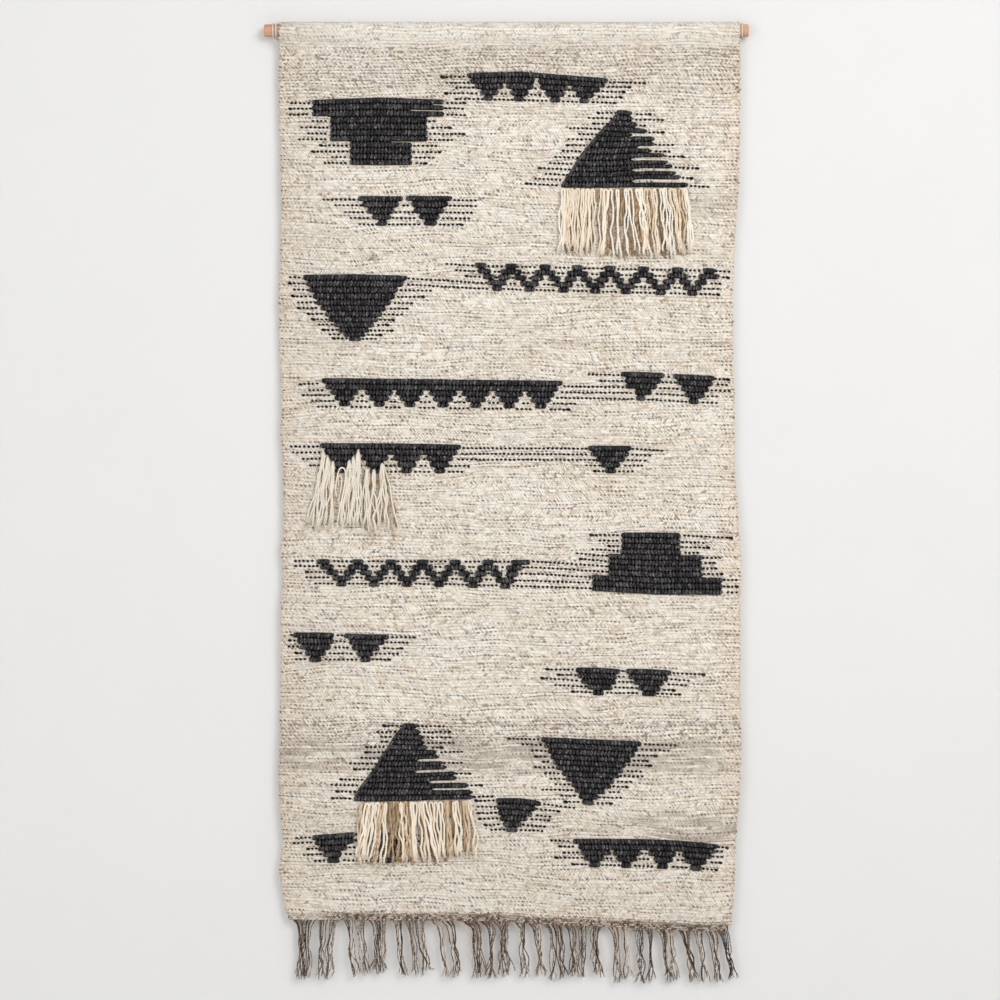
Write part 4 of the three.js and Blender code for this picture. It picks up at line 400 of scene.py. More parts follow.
def cloth_material():
    """Melange weft yarn packed over hidden warps: rows of fine slanted stitches, and rows of dark flecks a warp apart."""
    g = Nodes("woven_ground")
    X, S, _ = g.xyz(g.attr("cloth").outputs["Vector"])
    slow = g.noise(g.vec(g.mul(X, 0.006), g.mul(S, 0.012), 3.0), 1.0, 1.0)
    ripple = g.noise(g.vec(g.mul(X, 0.03), g.mul(S, 0.06), 6.0), 1.0, 2.0)
    bend = g.add(g.mul(g.sub(slow, 0.5), 5.0), g.mul(g.sub(ripple, 0.5), 0.9))
    v = g.add(g.m("DIVIDE", S, 4.7), bend)
    row = g.m("FLOOR", v); fv = g.m("FRACT", v)
    par = g.sub(g.mul(g.m("FLOORED_MODULO", row, 2.0), 2.0), 1.0)
    keep = g.m("GREATER_THAN", g.noise(g.vec(g.mul(X, 0.004), g.mul(row, 0.19), 2.0), 1.0, 1.0), 0.46)
    par = g.add(g.mul(par, keep), g.sub(1.0, keep))
    jit = g.white(g.vec(row, 7.0, 1.0))
    wob = g.noise(g.vec(g.mul(X, 0.05), g.mul(row, 0.37), 9.0), 1.0, 1.0)
    u = g.add(g.add(g.m("DIVIDE", X, 4.0), g.mul(g.mul(par, fv), 1.05)), g.add(jit, g.mul(wob, 2.6)))
    cell = g.m("FLOOR", u); fu = g.m("FRACT", u)
    one = g.white(g.vec(cell, row, 2.0)); two = g.white(g.vec(cell, row, 17.0))
    pu = g.m("SINE", g.mul(fu, math.pi)); pv = g.m("SINE", g.mul(fv, math.pi))
    # how deep the line between two rows is, in runs along the row
    run = g.noise(g.vec(g.mul(X, 0.03), g.mul(row, 0.77), 12.0), 1.0, 2.0, 0.6)
    deep = g.span(run, 0.42, 0.62, 0.15, 1.0)
    gap_v = g.add(g.mul(g.m("POWER", pv, 0.6), deep), g.sub(1.0, deep))
    gap_u = g.m("POWER", pu, 0.75)
    h = g.mul(g.mul(gap_u, gap_v), g.add(0.72, g.mul(two, 0.28)))
    streak = g.noise(g.vec(g.mul(X, 0.016), g.mul(row, 0.83), 1.0), 1.0, 3.0, 0.62)
    streak2 = g.noise(g.vec(g.mul(X, 0.07), g.mul(row, 0.61), 5.0), 1.0, 2.0, 0.6)
    band = g.noise(g.vec(g.mul(X, 0.0035), g.mul(S, 0.022), 8.0), 1.0, 2.0, 0.55)
    fleck = g.noise(g.vec(g.mul(X, 0.34), g.mul(S, 0.60), 4.0), 1.0, 2.0, 0.65)
    tone = g.add(g.add(g.mul(one, 0.34), g.mul(streak, 0.62)), g.add(g.mul(streak2, 0.34), g.mul(fleck, 0.56)))
    tone = g.add(tone, g.mul(band, 0.26))
    tone = g.span(tone, 0.66, 1.40)
    col = g.ramp(tone, CLOTH_RAMP)
    # a warm cast that comes and goes, a little stronger at the selvedges
    edge = g.m("ABSOLUTE", g.sub(X, 5.0)); edge = g.span(edge, 320.0, 372.0, 0.0, 1.0, True)
    warm = g.m("MAXIMUM", g.span(fleck, 0.5, 0.72, 0.0, 0.8), g.mul(edge, 0.45))
    col = g.mix(warm, col, g.mix(1.0, col, (252, 238, 222), "MULTIPLY"))
    # the tube round the dowel is worked in the whitest yarn; under it the yarn is at its most speckled
    tube_top = g.span(S, -32.0, -22.0, 0.0, 1.0, True)
    under = g.mul(g.span(S, -112.0, -84.0, 0.0, 1.0, True), g.sub(1.0, tube_top))
    melange = g.mul(g.span(S, -1152.0, -1138.0, 0.0, 1.0, True), g.span(S, -1106.0, -1096.0, 1.0, 0.0, True))
    # flecks of dark yarn that show between the warps, row by row
    v6 = g.add(g.m("DIVIDE", S, 6.1), g.mul(bend, 0.74))
    r6 = g.m("FLOOR", g.add(v6, 0.5)); dv = g.sub(v6, r6)
    u6 = g.add(g.m("DIVIDE", X, 6.3), g.add(g.white(g.vec(r6, 3.0, 5.0)), g.mul(g.noise(g.vec(g.mul(X, 0.03), g.mul(r6, 0.31), 4.0), 1.0, 1.0), 1.6)))
    u6 = g.add(u6, g.mul(dv, 0.5))
    c6 = g.m("FLOOR", g.add(u6, 0.5)); du = g.sub(u6, c6)
    big = g.add(0.75, g.mul(g.white(g.vec(c6, r6, 21.0)), 0.5))
    ell = g.m("SQRT", g.add(g.m("POWER", g.m("DIVIDE", du, 0.34), 2.0), g.m("POWER", g.m("DIVIDE", dv, 0.24), 2.0)))
    dot = g.span(g.m("DIVIDE", ell, big), 0.6, 1.15, 1.0, 0.0, True)
    run6 = g.noise(g.vec(g.mul(X, 0.02), g.mul(r6, 0.83), 7.0), 1.0, 2.0, 0.6)
    run6 = g.add(run6, g.add(g.mul(under, 0.10), g.add(g.mul(melange, 0.14), g.mul(edge, 0.05))))
    run6 = g.sub(run6, g.mul(tube_top, 0.03))
    on = g.mul(g.span(run6, 0.45, 0.55), g.span(g.white(g.vec(c6, r6, 9.0)), 0.10, 0.42, 0.25, 1.0))
    long = g.mul(g.span(g.m("ABSOLUTE", dv), 0.07, 0.15, 1.0, 0.0), g.span(g.noise(g.vec(g.mul(X, 0.009), g.mul(r6, 1.31), 3.0), 1.0, 1.0), 0.58, 0.63))
    long = g.mul(long, g.span(g.noise(g.vec(g.mul(X, 0.25), r6, 3.0), 1.0, 1.0), 0.38, 0.56, 0.1, 0.8))
    spots = g.m("MAXIMUM", g.mul(dot, on), g.mul(long, 0.75))
    col = g.mix(g.mul(spots, 0.84), col, (94, 75, 60))
    # single dark fibres, anywhere
    speck = g.mul(g.span(g.white(g.vec(cell, row, 11.0)), 0.80, 0.9), g.span(g.add(streak2, g.mul(g.m("MAXIMUM", under, melange), 0.10)), 0.50, 0.62))
    col = g.mix(g.mul(speck, 0.62), col, (122, 100, 84))
    col = g.mix(g.mul(tube_top, 0.30), col, (246, 243, 237))
    # greyer, browner stretches low on the cloth, and one full row of grey yarn
    low = g.mul(g.span(S, -1150.0, -1118.0, 1.0, 0.0, True), g.span(S, -1200.0, -1176.0, 0.0, 1.0, True))
    low2 = g.mul(g.span(S, -1258.0, -1235.0, 1.0, 0.0, True), g.span(S, -1310.0, -1290.0, 0.0, 1.0, True))
    low = g.m("MAXIMUM", low, g.mul(low2, g.span(X, 150.0, 260.0, 0.2, 1.0, True)))
    mid = g.mul(g.span(S, -268.0, -258.0, 1.0, 0.0, True), g.span(S, -306.0, -296.0, 0.0, 1.0, True))
    low = g.m("MAXIMUM", low, g.mul(g.mul(mid, g.span(X, 180.0, 260.0, 0.0, 1.0, True)), 0.7))
    low = g.mul(low, g.span(g.noise(g.vec(g.mul(X, 0.012), g.mul(row, 0.9), 2.0), 1.0, 2.0), 0.38, 0.58))
    col = g.mix(g.mul(low, 0.55), col, (152, 138, 124))
    grey = g.mul(g.span(g.m("ABSOLUTE", g.add(S, 1110.0)), 1.2, 2.8, 0.5, 0.0), g.span(g.noise(g.vec(g.mul(X, 0.05), 1.0, 2.0), 1.0, 2.0), 0.42, 0.56))
    col = g.mix(grey, col, (132, 120, 108))
    # the line between two stitches is painted shade in the gap: some lines are deep and dark, most are soft
    ub = g.m("FLOOR", g.add(u, 0.5)); off = g.m("ABSOLUTE", g.sub(u, ub))
    rb = g.add(g.white(g.vec(ub, row, 5.0)), g.mul(g.sub(streak2, 0.5), 0.9))
    rb = g.add(rb, g.add(g.mul(g.m("MAXIMUM", under, melange), 0.16), g.mul(tube_top, -0.16)))
    line = g.mul(g.span(off, 0.12, 0.26, 1.0, 0.0), g.span(rb, 0.42, 0.90, 0.14, 1.0))
    line = g.mul(line, g.span(pv, 0.05, 0.5, 0.35, 1.0))
    col = g.mix(g.mul(line, 0.66), col, (98, 72, 52))
    # painted shade in the groove between two rows, deeper in runs along the row
    row_gap_shade = g.mul(g.span(pv, 0.10, 0.52, 1.0, 0.0), g.mul(g.span(run, 0.40, 0.60, 0.12, 1.0), g.span(g.white(g.vec(cell, row, 33.0)), 0.05, 0.55, 0.25, 1.0)))
    col = g.mix(g.mul(row_gap_shade, 0.60), col, (106, 80, 58))
    # painted shade: darker towards the left selvedge, away from the key light, and just under the pocket; the cloth is
    # also darker towards the bottom
    dim = g.m("MAXIMUM", g.m("MAXIMUM", g.span(X, -362.0, -215.0, 1.0, 0.0, True), g.span(S, -1400.0, -1190.0, 0.75, 0.0, True)), g.mul(under, 0.7))
    col = g.mix(g.mul(dim, 0.13), col, (146, 130, 114))
    # painted shade in the hollows between stitches and rows, where the relief is low
    dark = g.span(h, 0.10, 0.62, 0.0, 1.0, True)
    col = g.mix(g.mul(g.sub(1.0, dark), 0.18), col, g.mix(1.0, col, (148, 130, 114), "MULTIPLY"))
    fib = g.noise(g.vec(g.mul(X, 1.6), g.mul(S, 3.4), 4.0), 1.0, 3.0, 0.65)
    hh = g.sub(g.add(h, g.mul(fib, 0.3)), g.mul(spots, 0.5))
    n = g.bump(hh, 0.7, 0.0013)
    return g.surface(col, 0.93, n, Sheen_Weight=0.16, Sheen_Roughness=0.6, Specular_IOR_Level=0.25)


CLOTH_RAMP = [(0.0, (190, 170, 150)), (0.2, (224, 210, 192)), (0.42, (247, 237, 223)), (0.66, (254, 250, 242)), (1.0, (255, 254, 250))]


def wool_material():
    """Heathered charcoal wool: pale and near-black fibres lie along each stitch."""
    g = Nodes("charcoal_wool")
    p = g.pos(); d = g.xyz(g.attr("yarn").outputs["Vector"])
    fib = g.noise(g.vec(g.mul(d[0], 0.30), g.mul(d[1], 1.15), g.mul(d[2], 61.0)), 1.0, 2.0, 0.6)
    fine = g.noise(p, 620.0, 2.0, 0.7)
    big = g.noise(p, 45.0, 1.0)
    tone = g.add(g.add(g.mul(fib, 0.95), g.mul(d[2], 0.15)), g.add(g.mul(fine, 0.35), g.mul(big, 0.08)))
    col = g.ramp(tone, [(0.40, (6, 6, 7)), (0.58, (27, 26, 28)), (0.74, (55, 53, 55)), (0.90, (99, 96, 98)), (1.04, (158, 154, 156))])
    tw = g.m("SINE", g.add(g.mul(d[0], 1.3), g.mul(d[1], 3.0)))
    n = g.bump(g.add(g.mul(tw, 0.2), g.add(fib, g.mul(fine, 0.6))), 0.8, 0.0012)
    return g.surface(col, 0.96, n, Sheen_Weight=0.03, Sheen_Roughness=0.5, Specular_IOR_Level=0.10)


def yarn_material(name, stops, twist, bump, rnd=0.5, sheen=0.15):
    """Twisted yarn: plies wind round it and its shade changes from strand to strand and along it."""
    g = Nodes(name)
    d = g.xyz(g.attr("yarn").outputs["Vector"])
    fib = g.noise(g.vec(g.mul(d[0], 0.9), g.mul(d[1], 1.6), g.mul(d[2], 40.0)), 1.0, 3.0, 0.65)
    slow = g.noise(g.vec(g.mul(d[0], 0.05), g.mul(d[2], 31.0), 2.0), 1.0, 2.0)
    tw = g.m("SINE", g.add(g.mul(d[0], twist), g.mul(d[1], 2.0)))
    tone = g.add(g.add(g.mul(fib, 0.35), g.mul(d[2], rnd)), g.add(g.mul(slow, 0.35), g.mul(tw, 0.07)))
    tone = g.span(tone, 0.22, 0.35 + rnd + 0.28)
    col = g.ramp(tone, stops)
    n = g.bump(g.add(g.mul(tw, 0.6), g.mul(fib, 0.5)), 0.7, bump)
    return g.surface(col, 0.92, n, Sheen_Weight=sheen, Sheen_Roughness=0.5, Specular_IOR_Level=0.2)


def wood_material():
    """Pale bare dowel: straight grain along its length, a few pores."""
    g = Nodes("pale_dowel")
    x, y, z = g.xyz(g.pos())
    grain = g.noise(g.vec(g.mul(x, 9.0), g.mul(y, 420.0), g.mul(z, 420.0)), 1.0, 4.0, 0.6, 0.4)
    fine = g.noise(g.vec(g.mul(x, 45.0), g.mul(y, 1500.0), g.mul(z, 1500.0)), 1.0, 2.0, 0.6)
    big = g.noise(g.vec(g.mul(x, 2.0), g.mul(y, 60.0), g.mul(z, 60.0)), 1.0, 2.0)
    tone = g.add(g.add(g.mul(grain, 0.6), g.mul(fine, 0.25)), g.mul(big, 0.3))
    col = g.ramp(g.span(tone, 0.36, 0.80), [(0.0, (170, 118, 88)), (0.35, (198, 148, 118)), (0.65, (214, 168, 138)), (1.0, (226, 190, 164))])
    n = g.bump(g.add(grain, g.mul(fine, 0.5)), 0.25, 0.0004)
    return g.surface(col, g.span(fine, 0.3, 0.7, 0.48, 0.64), n, Specular_IOR_Level=0.4)


M_CLOTH = cloth_material()
M_WOOL = wool_material()
M_CREAM = yarn_material("cream_yarn", [(0.0, (70, 48, 30)), (0.13, (112, 80, 50)), (0.25, (196, 160, 116)), (0.40, (247, 230, 205)), (0.62, (255, 248, 235)), (1.0, (255, 253, 248))], 1.9, 0.0004, 0.45, 0.40)
M_TAUPE = yarn_material("warp_yarn", [(0.0, (34, 25, 20)), (0.24, (80, 60, 47)), (0.5, (152, 128, 108)), (0.72, (224, 208, 190)), (1.0, (252, 246, 235))], 3.0, 0.0006, 0.75)
M_BAND = yarn_material("twined_yarn", [(0.0, (58, 45, 38)), (0.25, (132, 113, 98)), (0.6, (210, 193, 177)), (1.0, (253, 247, 237))], 3.0, 0.0006, 0.7)
M_CORD = yarn_material("white_cord", [(0.0, (214, 208, 198)), (0.5, (240, 237, 230)), (1.0, (252, 250, 246))], 1.9, 0.0007, 0.2)
M_WOOD = wood_material()

# ------------------------------------------------------------------ camera, light, stage
cam = bpy.data.objects.new("camera", bpy.data.cameras.new("camera"))
bpy.context.scene.collection.objects.link(cam)
cam.location = (-0.0102, -5.0, -0.7514)
cam.rotation_euler = (math.pi / 2, 0, 0)
cam.data.sensor_width = 36.0
cam.data.lens = 36.0 * 4.997 / 1.6
bpy.context.scene.camera = cam

bpy.context.scene.view_settings.view_transform = "Standard"
world = bpy.data.worlds.new("studio"); bpy.context.scene.world = world
world.use_nodes = True
world.node_tree.nodes["Background"].inputs[0].default_value = (1.0, 0.995, 0.985, 1)
world.node_tree.nodes["Background"].inputs[1].default_value = 0.50


def area(name, loc, target, size, power, color=(1, 1, 1)):
    d = bpy.data.lights.new(name, "AREA"); d.shape = "SQUARE"; d.size = size; d.energy = power; d.color = color
    o = bpy.data.objects.new(name, d); bpy.context.scene.collection.objects.link(o)
    o.location = loc
    o.rotation_euler = (Vector(target) - Vector(loc)).to_track_quat("-Z", "Y").to_euler()
    return o


area("key", (1.6, -3.5, 1.0), (0.0, 0.0, -0.72), 2.0, 80.0, (1.0, 0.99, 0.97))
area("fill", (-2.4, -4.0, -0.3), (0.0, 0.0, -0.8), 2.4, 41.0, (0.98, 0.99, 1.0))
area("rear", (-1.2, 3.4, 0.4), (0.0, 0.0, -0.8), 2.0, 46.0)


def plane(name, pts, color, rough=0.9, one_way=False):
    ob = make_mesh(name, np.array(pts, float) * 1000, quads=[[0, 1, 2, 3]], smooth=False)
    g = Nodes(name)
    n = g.noise(g.pos(), 6.0, 3.0)
    col = g.mix(g.span(n, 0.3, 0.7, 0.0, 0.35), color, tuple(c * 0.985 for c in color))
    g.surface(col, rough, Specular_IOR_Level=0.1)
    if one_way:   # seen from behind it is clear, so that the back of the cloth can be looked at
        tr = g.t.nodes.new("ShaderNodeBsdfTransparent"); mx = g.t.nodes.new("ShaderNodeMixShader")
        geo = g.t.nodes.new("ShaderNodeNewGeometry")
        g.t.links.new(geo.outputs["Backfacing"], mx.inputs[0])
        g.t.links.new(g.bsdf.outputs[0], mx.inputs[1]); g.t.links.new(tr.outputs[0], mx.inputs[2])
        g.t.links.new(mx.outputs[0], g.out.inputs[0])
    ob.data.materials.append(g.mat)
    return ob


WALL_Y = 0.0155
wall = plane("wall", [(-6, WALL_Y, -1.75), (6, WALL_Y, -1.75), (6, WALL_Y, 4), (-6, WALL_Y, 4)], (231, 231, 232), one_way=True)
wall.visible_shadow = False; wall.visible_diffuse = False      # light from behind reaches the back of the cloth
plane("floor", [(-6, -7, -1.75), (6, -7, -1.75), (6, WALL_Y, -1.75), (-6, WALL_Y, -1.75)], (232, 230, 226))

# ------------------------------------------------------------------ the hanging cord, slack behind the cloth
HITCH_L, HITCH_R = -371.1, 374.2
n = 150
tt = np.linspace(0, 1, n); uu = 2 * tt - 1
cord_path = np.stack([HITCH_L + (HITCH_R - HITCH_L) * tt, 7.4 + 3.2 * np.abs(uu) ** 8, -10.6 - 144.0 * (1 - uu * uu)], 1)
pile = Pile(); pile.add(*tube(cord_path, 1.35, 10, 0.5))
cord = pile.make("slack_cord", M_CORD)
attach(cord, "pocket"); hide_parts("hanging_cord")


def cord_turns(name, x0, node, seed, sign):
    """Two turns round the dowel, drawn tight, that cross to a small knot at the back."""
    pile = Pile(); r = 10 + 1.45
    for k, dx in enumerate((-2.4, 2.4)):
        a = np.linspace(0, 2 * math.pi, 44)
        path = np.stack([x0 + dx + 0.35 * np.sin(a + k), r * np.cos(a + 2.36), r * np.sin(a + 2.36)], 1)
        for ply in (0, math.pi):
            pile.add(*tube(path, 0.74, 7, seed + 0.1 * k, offset=0.62, turn=0.95, phase=ply))
    # knot and one short end behind the dowel
    a = np.linspace(0, 2 * math.pi, 26)
    knot = np.stack([x0 + 2.9 * np.cos(a), 10.6 + 1.0 * np.sin(2 * a), -7.6 + 2.3 * np.sin(a)], 1)
    pile.add(*tube(knot, 1.15, 8, seed))
    pile.add(*tube(np.array([[x0 - sign * 1, 11.0, -7.0], [x0 - sign * 3.6, 12.0, -5.0], [x0 - sign * 5.6, 12.2, -1.0], [x0 - sign * 6.4, 12.0, 4.0]], float), [1.1, 1.1, 1.1, 1.25], 8, seed))
    ob = pile.make(name, M_CORD)
    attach(ob, "pocket"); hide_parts(node)
    return ob


knots = [cord_turns("cord_turns_left", HITCH_L, "cord_hitch_left", 0.3, -1), cord_turns("cord_turns_right", HITCH_R, "cord_hitch_right", 0.6, 1)]

# ------------------------------------------------------------------ dowel
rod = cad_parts["dowel_rod"]
rod.data.materials.clear(); rod.data.materials.append(M_WOOD)
for sl in rod.material_slots: sl.material = M_WOOD

# ------------------------------------------------------------------ the woven cloth
def spline(pts, step):
    p = np.array(pts, float); out = []
    q = np.vstack([2 * p[0] - p[1], p, 2 * p[-1] - p[-2]])
    for i in range(1, len(q) - 2):
        a, b, c, d = q[i - 1:i + 3]; m = max(2, int(np.linalg.norm(c - b) / step))
        for t in np.arange(m) / m:
            out.append(0.5 * ((2 * b) + (c - a) * t + (2 * a - 5 * b + 4 * c - d) * t * t + (3 * b - a - 3 * c + d) * t ** 3))
    out.append(p[-1]); return np.array(out)


def sheet_mesh(name, path, cols, seed, skew):
    """path: (k,3) of y, z, s down the cloth's middle, from its low end up. The outer face is on the left of the way up."""
    k = len(path); y, z, s = path.T
    d = np.gradient(path[:, :2], axis=0); d /= np.linalg.norm(d, axis=1)[:, None]
    ny, nz = -d[:, 1], d[:, 0]
    u = np.linspace(0, 1, cols); u = 0.5 - 0.5 * np.cos(u * math.pi) * (0.35) - 0.5 * (1 - 2 * u) * 0.65   # closer columns at the selvedges
    xl, xr = x_left(z), x_right(z)
    X = xl[:, None] + (xr - xl)[:, None] * u[None, :]
    shift = np.clip((-1213 - z) / 200.0, 0, 1.0)[:, None] * (z_bottom(X) + BAND_H + 1413.8) if skew else 0.0
    Z0 = z[:, None] + shift
    W = sway(X, Z0)
    # the ground is beaten in rows: a fine random relief on both faces
    rr = np.random.RandomState(seed)
    front_h = THICK / 2 * (1 - 0.35 * np.exp(-np.minimum(u, 1 - u) * 90))[None, :] + rr.uniform(-0.18, 0.18, X.shape)
    back_h = THICK / 2 * (1 - 0.35 * np.exp(-np.minimum(u, 1 - u) * 90))[None, :] + rr.uniform(-0.18, 0.18, X.shape)
    F = np.stack([X, y[:, None] + W + ny[:, None] * front_h, Z0 + nz[:, None] * front_h], -1).reshape(-1, 3)
    B = np.stack([X, y[:, None] + W - ny[:, None] * back_h, Z0 - nz[:, None] * back_h], -1).reshape(-1, 3)
    i, j = np.meshgrid(np.arange(k - 1), np.arange(cols - 1), indexing="ij"); a = (i * cols + j).ravel()
    qf = np.stack([a, a + 1, a + cols + 1, a + cols], 1); nb = k * cols
    qb = np.stack([a + nb, a + nb + cols, a + nb + cols + 1, a + nb + 1], 1)
    r = np.arange(k - 1) * cols
    ql = np.stack([r, r + cols, r + cols + nb, r + nb], 1)
    r = r + cols - 1
    qr = np.stack([r, r + nb, r + cols + nb, r + cols], 1)
    c = np.arange(cols - 1)
    q0 = np.stack([c, c + nb, c + 1 + nb, c + 1], 1); c2 = c + (k - 1) * cols
    q1 = np.stack([c2, c2 + 1, c2 + 1 + nb, c2 + nb], 1)
    S = np.broadcast_to(s[:, None], X.shape)
    cl = np.stack([X, S, np.zeros_like(X)], -1).reshape(-1, 3)
    cl = np.vstack([cl, cl + [1200.0, 0.0, 1.0]])
    co = [F, B]; at = [cl]; quads = [qf, qb, ql, qr, q0, q1]; tris = []; nn = 2 * nb
    # weft loops that turn round each selvedge
    L = np.concatenate([[0], np.cumsum(np.linalg.norm(np.diff(path[:, :2], axis=0), axis=1))])
    m = int(L[-1] / 3.95); Lq = (np.arange(m) + 0.5) * 3.95
    yq, zq, sq = np.interp(Lq, L, y), np.interp(Lq, L, z), np.interp(Lq, L, s)
    for side, fx in ((-1, x_left), (1, x_right)):
        xe = fx(zq)
        zz = zq + (np.clip((-1213 - zq) / 200.0, 0, 1.0) * (z_bottom(xe) + BAND_H + 1413.8) if skew else 0.0)
        par = np.where(np.arange(m) % 2 == 0, 1.0, -1.0)
        ang = par * 0.62 + rr.uniform(-0.2, 0.2, m)
        ax = np.stack([np.cos(ang), np.zeros(m), np.sin(ang)], 1)
        reach = rr.uniform(-0.9, 1.0, m) + par * 0.25
        cen = np.stack([xe + side * (reach - 1.2), yq + sway(xe, zz), zz], 1)
        co2, q2, t2, rnd, _ = blobs(cen, ax, rr.uniform(3.0, 4.2, m), rr.uniform(1.8, 2.3, m), rr.uniform(1.7, 2.1, m), rr.uniform(0, 1, m), 7, 4)
        co.append(co2); quads.append(q2 + nn); tris.append(t2 + nn)
        per = len(co2) // m
        at.append(np.stack([co2[:, 0], np.repeat(sq, per) + (co2[:, 2] - np.repeat(zz, per)), np.zeros(len(co2))], 1)); nn += len(co2)
    return make_mesh(name, np.vstack(co), np.vstack(quads), np.vstack(tris), {"cloth": np.vstack(at)}, material=M_CLOTH)


front = [(0.0, -70.0), (-0.1, -58.0), (-0.6, -46.0), (-1.5, -35.0), (-2.3, -26.5), (-4.4, -20.5), (-8.6, -14.2), (-11.5, -7.0)]
top = [(12.25 * math.cos(a), 12.25 * math.sin(a)) for a in np.radians(np.linspace(180, 0, 9))]
back = [(11.5, -7.0), (8.6, -14.2), (4.6, -20.5), (2.6, -26.5), (2.7, -33.0), (2.9, -38.5)]
wrap = spline(front + top + back, 2.2)
low = np.stack([np.zeros(108), np.linspace(CUT_Z, -73.0, 108)], 1)
path = np.vstack([low, wrap])
s = np.concatenate([[0], np.cumsum(np.linalg.norm(np.diff(path, axis=0), axis=1))]) + CUT_Z
pathA = np.column_stack([path, s])
zB = np.linspace(-1413.8, CUT_Z, 232)
pathB = np.column_stack([np.zeros_like(zB), zB, zB])
sheetA = sheet_mesh("cloth_sheet_upper", pathA, 124, 11, False)
sheetB = sheet_mesh("cloth_sheet_lower", pathB, 124, 12, True)
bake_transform(sheetA)
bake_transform(sheetB)
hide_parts("rod_pocket", "cloth_upper"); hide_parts("cloth_lower")

# running stitches along the seam of the pocket
m = 86; xs = np.linspace(x_left(-26) + 6, x_right(-26) - 6, m)
cen = np.stack([xs, np.full(m, -4.55), -25.6 + 0.5 * np.sin(xs * 0.02)], 1)
ax = np.tile([1.0, 0, 0], (m, 1)) + np.stack([np.zeros(m), np.zeros(m), rng.uniform(-0.1, 0.1, m)], 1); ax /= np.linalg.norm(ax, axis=1)[:, None]
co, q, t, rnd, yd = blobs(cen, ax, np.full(m, 2.6), np.full(m, 0.6), np.full(m, 0.55), rng.uniform(0.1, 0.5, m), 6, 3)
pile = Pile(); pile.add(co, q, t, yd)
stitches = pile.make("seam_stitches", M_CREAM)
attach(stitches, "pocket"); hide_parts("pocket_stitching")

# ------------------------------------------------------------------ wool rows and dashes
def line_z(kn, x):
    k = np.array(kn); return np.interp(x, k[:, 0], k[:, 1])


runs = [[] for _ in MOTIFS]
for li, (kn, xs0, xe0, sol) in enumerate(LINES):
    for a, b, mi in sol: runs[mi].append((li, a, b))


# where a cream slit opens between two rows: row number, the next one, from this x on, how wide the slit is
SLITS = {0: [(0, 1, -119, 1.5), (1, 2, -155, 1.7), (6, 7, -184, 1.3)],
         2: [(3, 5, 204, 4.6), (6, 7, 212, 4.2), (8, 9, 200, 4.6), (10, 11, 201, 4.4), (12, 13, 203, 5.0)],
         18: [(6, 7, -141, 4.4), (8, 9, -143, 4.2), (10, 11, -121, 4.2), (11, 12, -119, 3.2)]}


def half_heights(mi, li, a, b, x):
    z = line_z(LINES[li][0], x); up = dn = 4.7
    order = [r[0] for r in runs[mi]]
    for lj, c, d in runs[mi]:
        if lj == li or not (c - 1.5 <= x <= d + 1.5): continue
        dz = line_z(LINES[lj][0], x) - z
        cut = 0.0
        for p_, q_, x_, w_ in SLITS.get(mi, []):
            if {li, lj} == {order[p_], order[q_]} and x > x_: cut = w_ / 2
        if 0 < dz < 12.8: up = min(up if up != 4.7 else 9, dz / 2 - cut)
        if 0 < -dz < 12.8: dn = min(dn if dn != 4.7 else 9, -dz / 2 - cut)
    return up, dn


